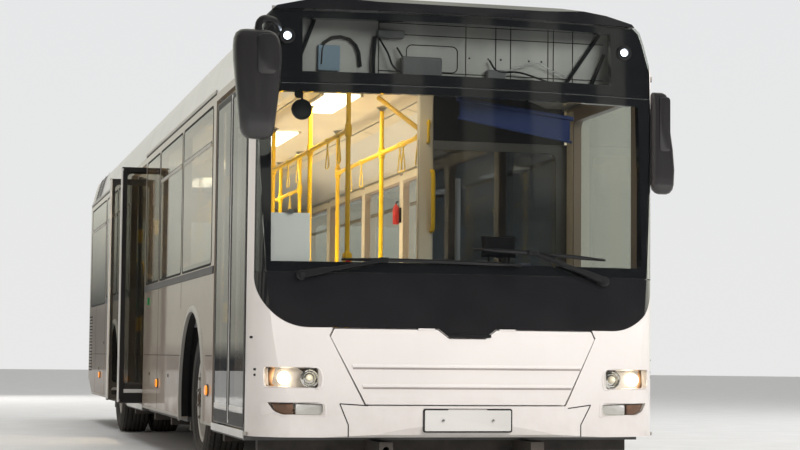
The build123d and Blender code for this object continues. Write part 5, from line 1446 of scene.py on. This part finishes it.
def pad_form(width, length, thick, cells_u=18, cells_v=18, channels=()):
    """A closed cushion: flat below, crowned above, sides drawn in, sewn channels across."""
    shape = form()

    def point(i, j, above):
        u, v = 2 * i / cells_u - 1, 2 * j / cells_v - 1
        x = u * width / 2 * (1 - 0.035 * (1 - v * v) * abs(u) ** 3)
        y = v * length / 2 * (1 - 0.03 * (1 - u * u) * abs(v) ** 3)
        full = ((1 - abs(u) ** 5) * (1 - abs(v) ** 5)) ** 0.5
        z = thick * 0.30 * (1 - full)
        if above:
            z = thick * (0.36 + 0.64 * full * (1 - 0.10 * (u * u + v * v)))
        for line in channels if above else ():
            z -= thick * 0.16 * math.exp(-((v - line) / 0.045) ** 2) * full
        return Vector((x, y, z))

    tops, lows = ([[shape.verts.new(point(i, j,
                                          above)) for j in range(cells_v + 1)] for i in range(cells_u + 1)]
                  for above in (True, False))
    for i in range(cells_u):
        for j in range(cells_v):
            shape.faces.new((tops[i][j], tops[i + 1][j], tops[i + 1][j + 1], tops[i][j + 1]))
            shape.faces.new((lows[i][j], lows[i][j + 1], lows[i + 1][j + 1], lows[i + 1][j]))
    rim = [(i, 0) for i in range(cells_u)] + [(cells_u, j) for j in range(cells_v)] \
        + [(i, cells_v) for i in range(cells_u, 0, -1)] + [(0, j) for j in range(cells_v, 0, -1)]
    for (a, b), (c, d) in zip(rim, rim[1:] + rim[:1]):
        shape.faces.new((lows[a][b], lows[c][d], tops[c][d], tops[a][b]))
    bmesh.ops.recalc_face_normals(shape, faces=shape.faces)
    mesh = bpy.data.meshes.new("pad")
    shape.to_mesh(mesh)
    shape.free()
    return mesh


def puffed(mesh, cap):
    """Lets a pad swell under pressure as cloth, no point moving further than the cap."""
    holder = bpy.data.objects.new("pad", mesh)
    scene.collection.objects.link(holder)
    cloth = holder.modifiers.new("cloth", "CLOTH")
    cloth.settings.use_pressure = True
    cloth.settings.uniform_pressure_force = 4.0
    cloth.settings.effector_weights.gravity = 0.0
    cloth.settings.tension_stiffness = 30
    cloth.settings.compression_stiffness = 30
    cloth.point_cache.frame_start = 1
    cloth.point_cache.frame_end = PUFF_FRAMES
    for step in range(1, PUFF_FRAMES + 1):
        scene.frame_set(step)
    done = holder.evaluated_get(bpy.context.evaluated_depsgraph_get()).to_mesh()
    points = []
    for before, after in zip(mesh.vertices, done.vertices):
        move = after.co - before.co
        if move.length > cap:
            move = move.normalized() * cap
        points.append(before.co + move)
    holder.evaluated_get(bpy.context.evaluated_depsgraph_get()).to_mesh_clear()
    bpy.data.objects.remove(holder)
    scene.frame_set(1)
    return points


def lay_pads(name, pad, cap, places, material, subdivide=0):
    """Puffs one pad, copies it to each place and joins the copies; a place is a matrix."""
    points = puffed(pad, cap)
    shape = form()
    for place in places:
        verts = [shape.verts.new(place @ p) for p in points]
        for face in pad.polygons:
            shape.faces.new([verts[k] for k in face.vertices])
    piece = finish(shape, name, material, smooth=75, subdivide=subdivide)


def seat_place(x, y, z, sign, low, high):
    """A matrix that lays a pad along a seat panel, from its low to its high (y, z) point in side view."""
    start = Vector((x, y + sign * low[0], z + low[1]))
    end = Vector((x, y + sign * high[0], z + high[1]))
    run = (end - start).normalized()
    across = Vector((1, 0, 0))
    up = across.cross(run)
    want = Vector((0, -sign, 0)) if abs(run.z) > 0.5 else Vector((0, 0, 1))
    if up.dot(want) < 0:
        across, up = -across, -up
    turn = Matrix((across, run, up)).transposed().to_4x4()
    return Matrix.Translation((start + end) / 2 + up * 0.0006) @ turn


def make_seats():
    """Cushions, back pads, piping and yellow corner grips for all the passengers' seats."""
    seats = [(x - 0.22 * count + 0.44 * (i + 0.5), FRONT + y, z, sign)
             for x, y, z, sign, count in SEAT_ROWS for i in range(count)]
    cushion = pad_form(0.395, 0.375, 0.034, channels=(-0.36, 0.36))
    back = pad_form(0.395, 0.455, 0.030, channels=(-0.4, 0.1, 0.55))
    pans = [seat_place(*seat, (-0.215, 0.4296), (0.165, 0.4165)) for seat in seats]
    backs = [seat_place(*seat, (0.188, 0.472), (0.283, 0.896)) for seat in seats]
    lay_pads("seat_cushions", cushion, 0.006, pans, "seat_blue")
    lay_pads("seat_backs", back, 0.005, backs, "seat_blue")
    piping, grips = form(), form()
    for places, length in ((pans, 0.372), (backs, 0.452)):
        for place in places:
            line = rounded(0.392, length, 0.03, 2)
            tube(piping, [place @ Vector((u * 0.985, v * 0.985, 0.0105)) for u, v in line], 0.0038, 5, closed=True)
    for x, y, z, sign in seats:
        base = Vector((x, y, z))
        side = -1 if x > 0 or abs(x) < 0.3 else 1
        path = [base + Vector((side * u, sign * v, w)) for u, v, w in
                ((0.208, 0.276, 0.77), (0.222, 0.292, 0.86), (0.196, 0.306, 0.925), (0.10, 0.310, 0.935))]
        tube(grips, eased(path, 4), 0.0135, 8)
    finish(piping, "seat_piping", "seat_edge")
    finish(grips, "seat_grips", "rail_yellow", smooth=60)


def make_driver_seat():
    """The sprung driver's seat: bellows, frame, bolstered pads and head pad."""
    x, y = 0.64, FRONT + 1.15
    shape = form()
    bar(shape, (x - 0.17, y - 0.17, FLOOR + 0.001), (x + 0.17, y + 0.19, FLOOR + 0.07), 0.01, 2)
    rings = []
    for k in range(13):
        size = 0.25 + 2 * (0.012 if k % 2 else -0.008)
        line = rounded(size, size, 0.04, 3)
        rings.append([Vector((x + u, y + v, FLOOR + 0.065 + 0.02 * k)) for u, v in line])
    skin(shape, rings)
    bar(shape, (x - 0.21, y - 0.21, FLOOR + 0.305), (x + 0.21, y + 0.20, FLOOR + 0.345), 0.012, 2)
    for off in (-0.07, 0.07):
        tube(shape, [(x + off, y + 0.35, 1.40), (x + off, y + 0.352, 1.50)], 0.009, 10)
    bar(shape, (x - 0.20, y + 0.245, 0.76), (x + 0.20, y + 0.285, 1.0), 0.01, 2)
    finish(shape, "driver_seat_base", "satin_black", stands_for=("driver_seat",))
    cushion = pad_form(0.47, 0.45, 0.10, channels=(-0.5, 0.15))
    back = pad_form(0.45, 0.92, 0.085, 18, 28, channels=(-0.55, -0.1, 0.35))
    head = pad_form(0.25, 0.15, 0.07, 14, 10)
    seat = Matrix.Translation((x, y - 0.01, FLOOR + 0.338))
    lean = seat_place(x, y, 0.0, 1, (0.262, 0.765), (0.338, 1.425)) @ Matrix.Diagonal((1, 0.72, 1, 1))
    top = seat_place(x, y, 0.0, 1, (0.378, 1.452), (0.388, 1.592))
    lay_pads("driver_cushion", cushion, 0.010, [seat], "seat_blue", 1)
    lay_pads("driver_back", back, 0.010, [lean], "seat_blue", 1)
    lay_pads("driver_head_pad", head, 0.006, [top], "seat_edge", 1)


make_seats()
make_driver_seat()


# Floor, light and camera


FLOOR_REACH = 70.0


def make_floor():
    """A plain pale floor that runs far behind the bus."""
    shape = form()
    turns = [math.radians(a) for a in range(0, 360, 5)]
    skin(shape, [[(FLOOR_REACH * math.cos(turn), FLOOR_REACH * math.sin(turn), z) for turn in turns]
                 for z in (-0.02, 0.0)])
    bmesh.ops.recalc_face_normals(shape, faces=shape.faces)
    mesh = bpy.data.meshes.new("floor_of_studio")
    shape.to_mesh(mesh)
    shape.free()
    _, socket = surface("studio_floor", "floor_cover", (0.60, 0.595, 0.58), 0.7, grain=40, bump=0.0004,
                        drift=0.05)
    socket["Specular IOR Level"].default_value = 0.08
    mesh.materials.append(FINISH["studio_floor"])
    ground = bpy.data.objects.new("floor_of_studio", mesh)
    scene.collection.objects.link(ground)


def softbox(name, place, target, width, height, power, colour):
    """A rectangular lamp turned towards a point."""
    lamp = bpy.data.lights.new(name, "AREA")
    lamp.shape = "RECTANGLE"
    lamp.size = width
    lamp.size_y = height
    lamp.energy = power
    lamp.color = colour
    holder = bpy.data.objects.new(name, lamp)
    scene.collection.objects.link(holder)
    aim = (Vector(target) - Vector(place)).to_track_quat("-Z", "Y")
    holder.matrix_world = Matrix.Translation(Vector(place)) @ aim.to_matrix().to_4x4()
    holder.visible_camera = False
    holder.visible_glossy = False
    holder.visible_transmission = False


def waves(sheet, value, rate, swing, middle):
    """A sine wave over a value, about a middle."""
    return sheet.plus(sheet.times(sheet.maths("SINE", sheet.times(value, rate)), swing), middle)


def make_room():
    """An even pale surround, darker and banded where glass and paint mirror it."""
    world = bpy.data.worlds.new("room")
    world.use_nodes = True
    scene.world = world
    sheet = Sheet(world.node_tree)
    sheet.nodes.clear()
    x, y, z = sheet.add("SeparateXYZ", {0: sheet.add("TexCoord").outputs["Generated"]}).outputs
    height = sheet.spread(z, -0.1, 0.6)
    even = sheet.blend(height, (0.86, 0.86, 0.85, 1), (0.80, 0.82, 0.85, 1))
    turn = sheet.maths("ARCTAN2", x, y)
    panes = waves(sheet, turn, 34.0, 0.5, 0.5)
    rows = waves(sheet, z, 30.0, 0.5, 0.5)
    windows = sheet.times(sheet.spread(panes, 0.5, 0.7), sheet.spread(rows, 0.45, 0.6))
    front = sheet.spread(height, 0.0, 0.75, 1.0, 0.25)
    mirrored = sheet.blend(sheet.times(windows, front), (0.05, 0.052, 0.056, 1), (0.50, 0.49, 0.42, 1))
    driver_side = sheet.spread(x, -0.05, 0.05)
    above_skirt = sheet.maths("MAXIMUM", driver_side, sheet.spread(z, 0.02, 0.08))
    facing = sheet.times(sheet.spread(y, 0.05, 0.35), above_skirt)
    stripes = waves(sheet, turn, 55.0, 0.12, 0.86)
    mirrored = sheet.blend(sheet.times(facing, stripes), mirrored, (0.80, 0.80, 0.70, 1))
    path = sheet.add("LightPath").outputs
    direct = sheet.maths("MAXIMUM", path["Is Camera Ray"], path["Is Transmission Ray"])
    dim = sheet.blend(direct, (0.31, 0.31, 0.315, 1), even)
    seen = sheet.blend(path["Is Glossy Ray"], dim, mirrored)
    ground = sheet.add("Background", {"Color": seen, "Strength": 0.95})
    sheet.add("OutputWorld", {0: ground.outputs[0]})


make_floor()
make_room()
softbox("key", (5.0, -15.0, 6.5), (0.3, -5.5, 1.3), 7.0, 5.0, 1150, (1.0, 0.965, 0.94))
softbox("left_fill", (-11.0, -5.0, 5.0), (-1.0, 0.0, 1.2), 8.0, 5.0, 230, (1.0, 0.88, 0.76))
softbox("top", (0.0, 1.0, 11.0), (0.0, 1.0, 0.0), 10.0, 14.0, 420, (0.96, 0.98, 1.0))
softbox("right_fill", (13.0, 2.0, 6.0), (1.0, 1.0, 1.2), 8.0, 6.0, 600, (0.97, 0.98, 1.0))
softbox("rear_fill", (-3.0, 17.0, 5.0), (0.0, 6.0, 1.3), 7.0, 5.0, 500, (1.0, 0.97, 0.94))
for number, along_bus in enumerate((1.2, 3.3, 5.7, 7.9, 10.1)):
    softbox(f"cabin_{number}", at(-0.165, along_bus, 2.665), at(-0.165, along_bus, 0.0), 0.26, 1.0,
            25 if number else 6, (1.0, 0.83, 0.58))
softbox("cabin_glow", at(0.05, 5.4, 1.15), at(0.05, 5.4, 3.0), 0.5, 6.4, 110, (1.0, 0.80, 0.54))
sky = bpy.data.lights.new("sky", "SUN")
sky.energy = 1.5
sky.angle = 0.8
sky.color = (0.97, 0.98, 1.0)
sky_holder = bpy.data.objects.new("sky", sky)
scene.collection.objects.link(sky_holder)
sky_holder.visible_glossy = False
sky_holder.visible_transmission = False

yaw, pitch, roll = math.radians(14.02), math.radians(4.03), math.radians(0.55)
look = Vector((math.sin(yaw) * math.cos(pitch), math.cos(yaw) * math.cos(pitch), math.sin(pitch)))
level = Vector((math.cos(yaw), -math.sin(yaw), 0))
above = level.cross(look)
lens = bpy.data.cameras.new("camera")
lens.lens = 83.25
lens.sensor_width = 36
lens.sensor_fit = "HORIZONTAL"
lens.clip_end = 500
eye = bpy.data.objects.new("camera", lens)
scene.collection.objects.link(eye)
turned = Matrix((level * math.cos(roll) + above * math.sin(roll),
                 above * math.cos(roll) - level * math.sin(roll), -look))
eye.matrix_world = Matrix.Translation((-3.004, -16.182, 0.793)) @ turned.transposed().to_4x4()
scene.camera = eye
scene.view_settings.view_transform = "Standard"
scene.view_settings.look = "None"
scene.view_settings.exposure = 0.0
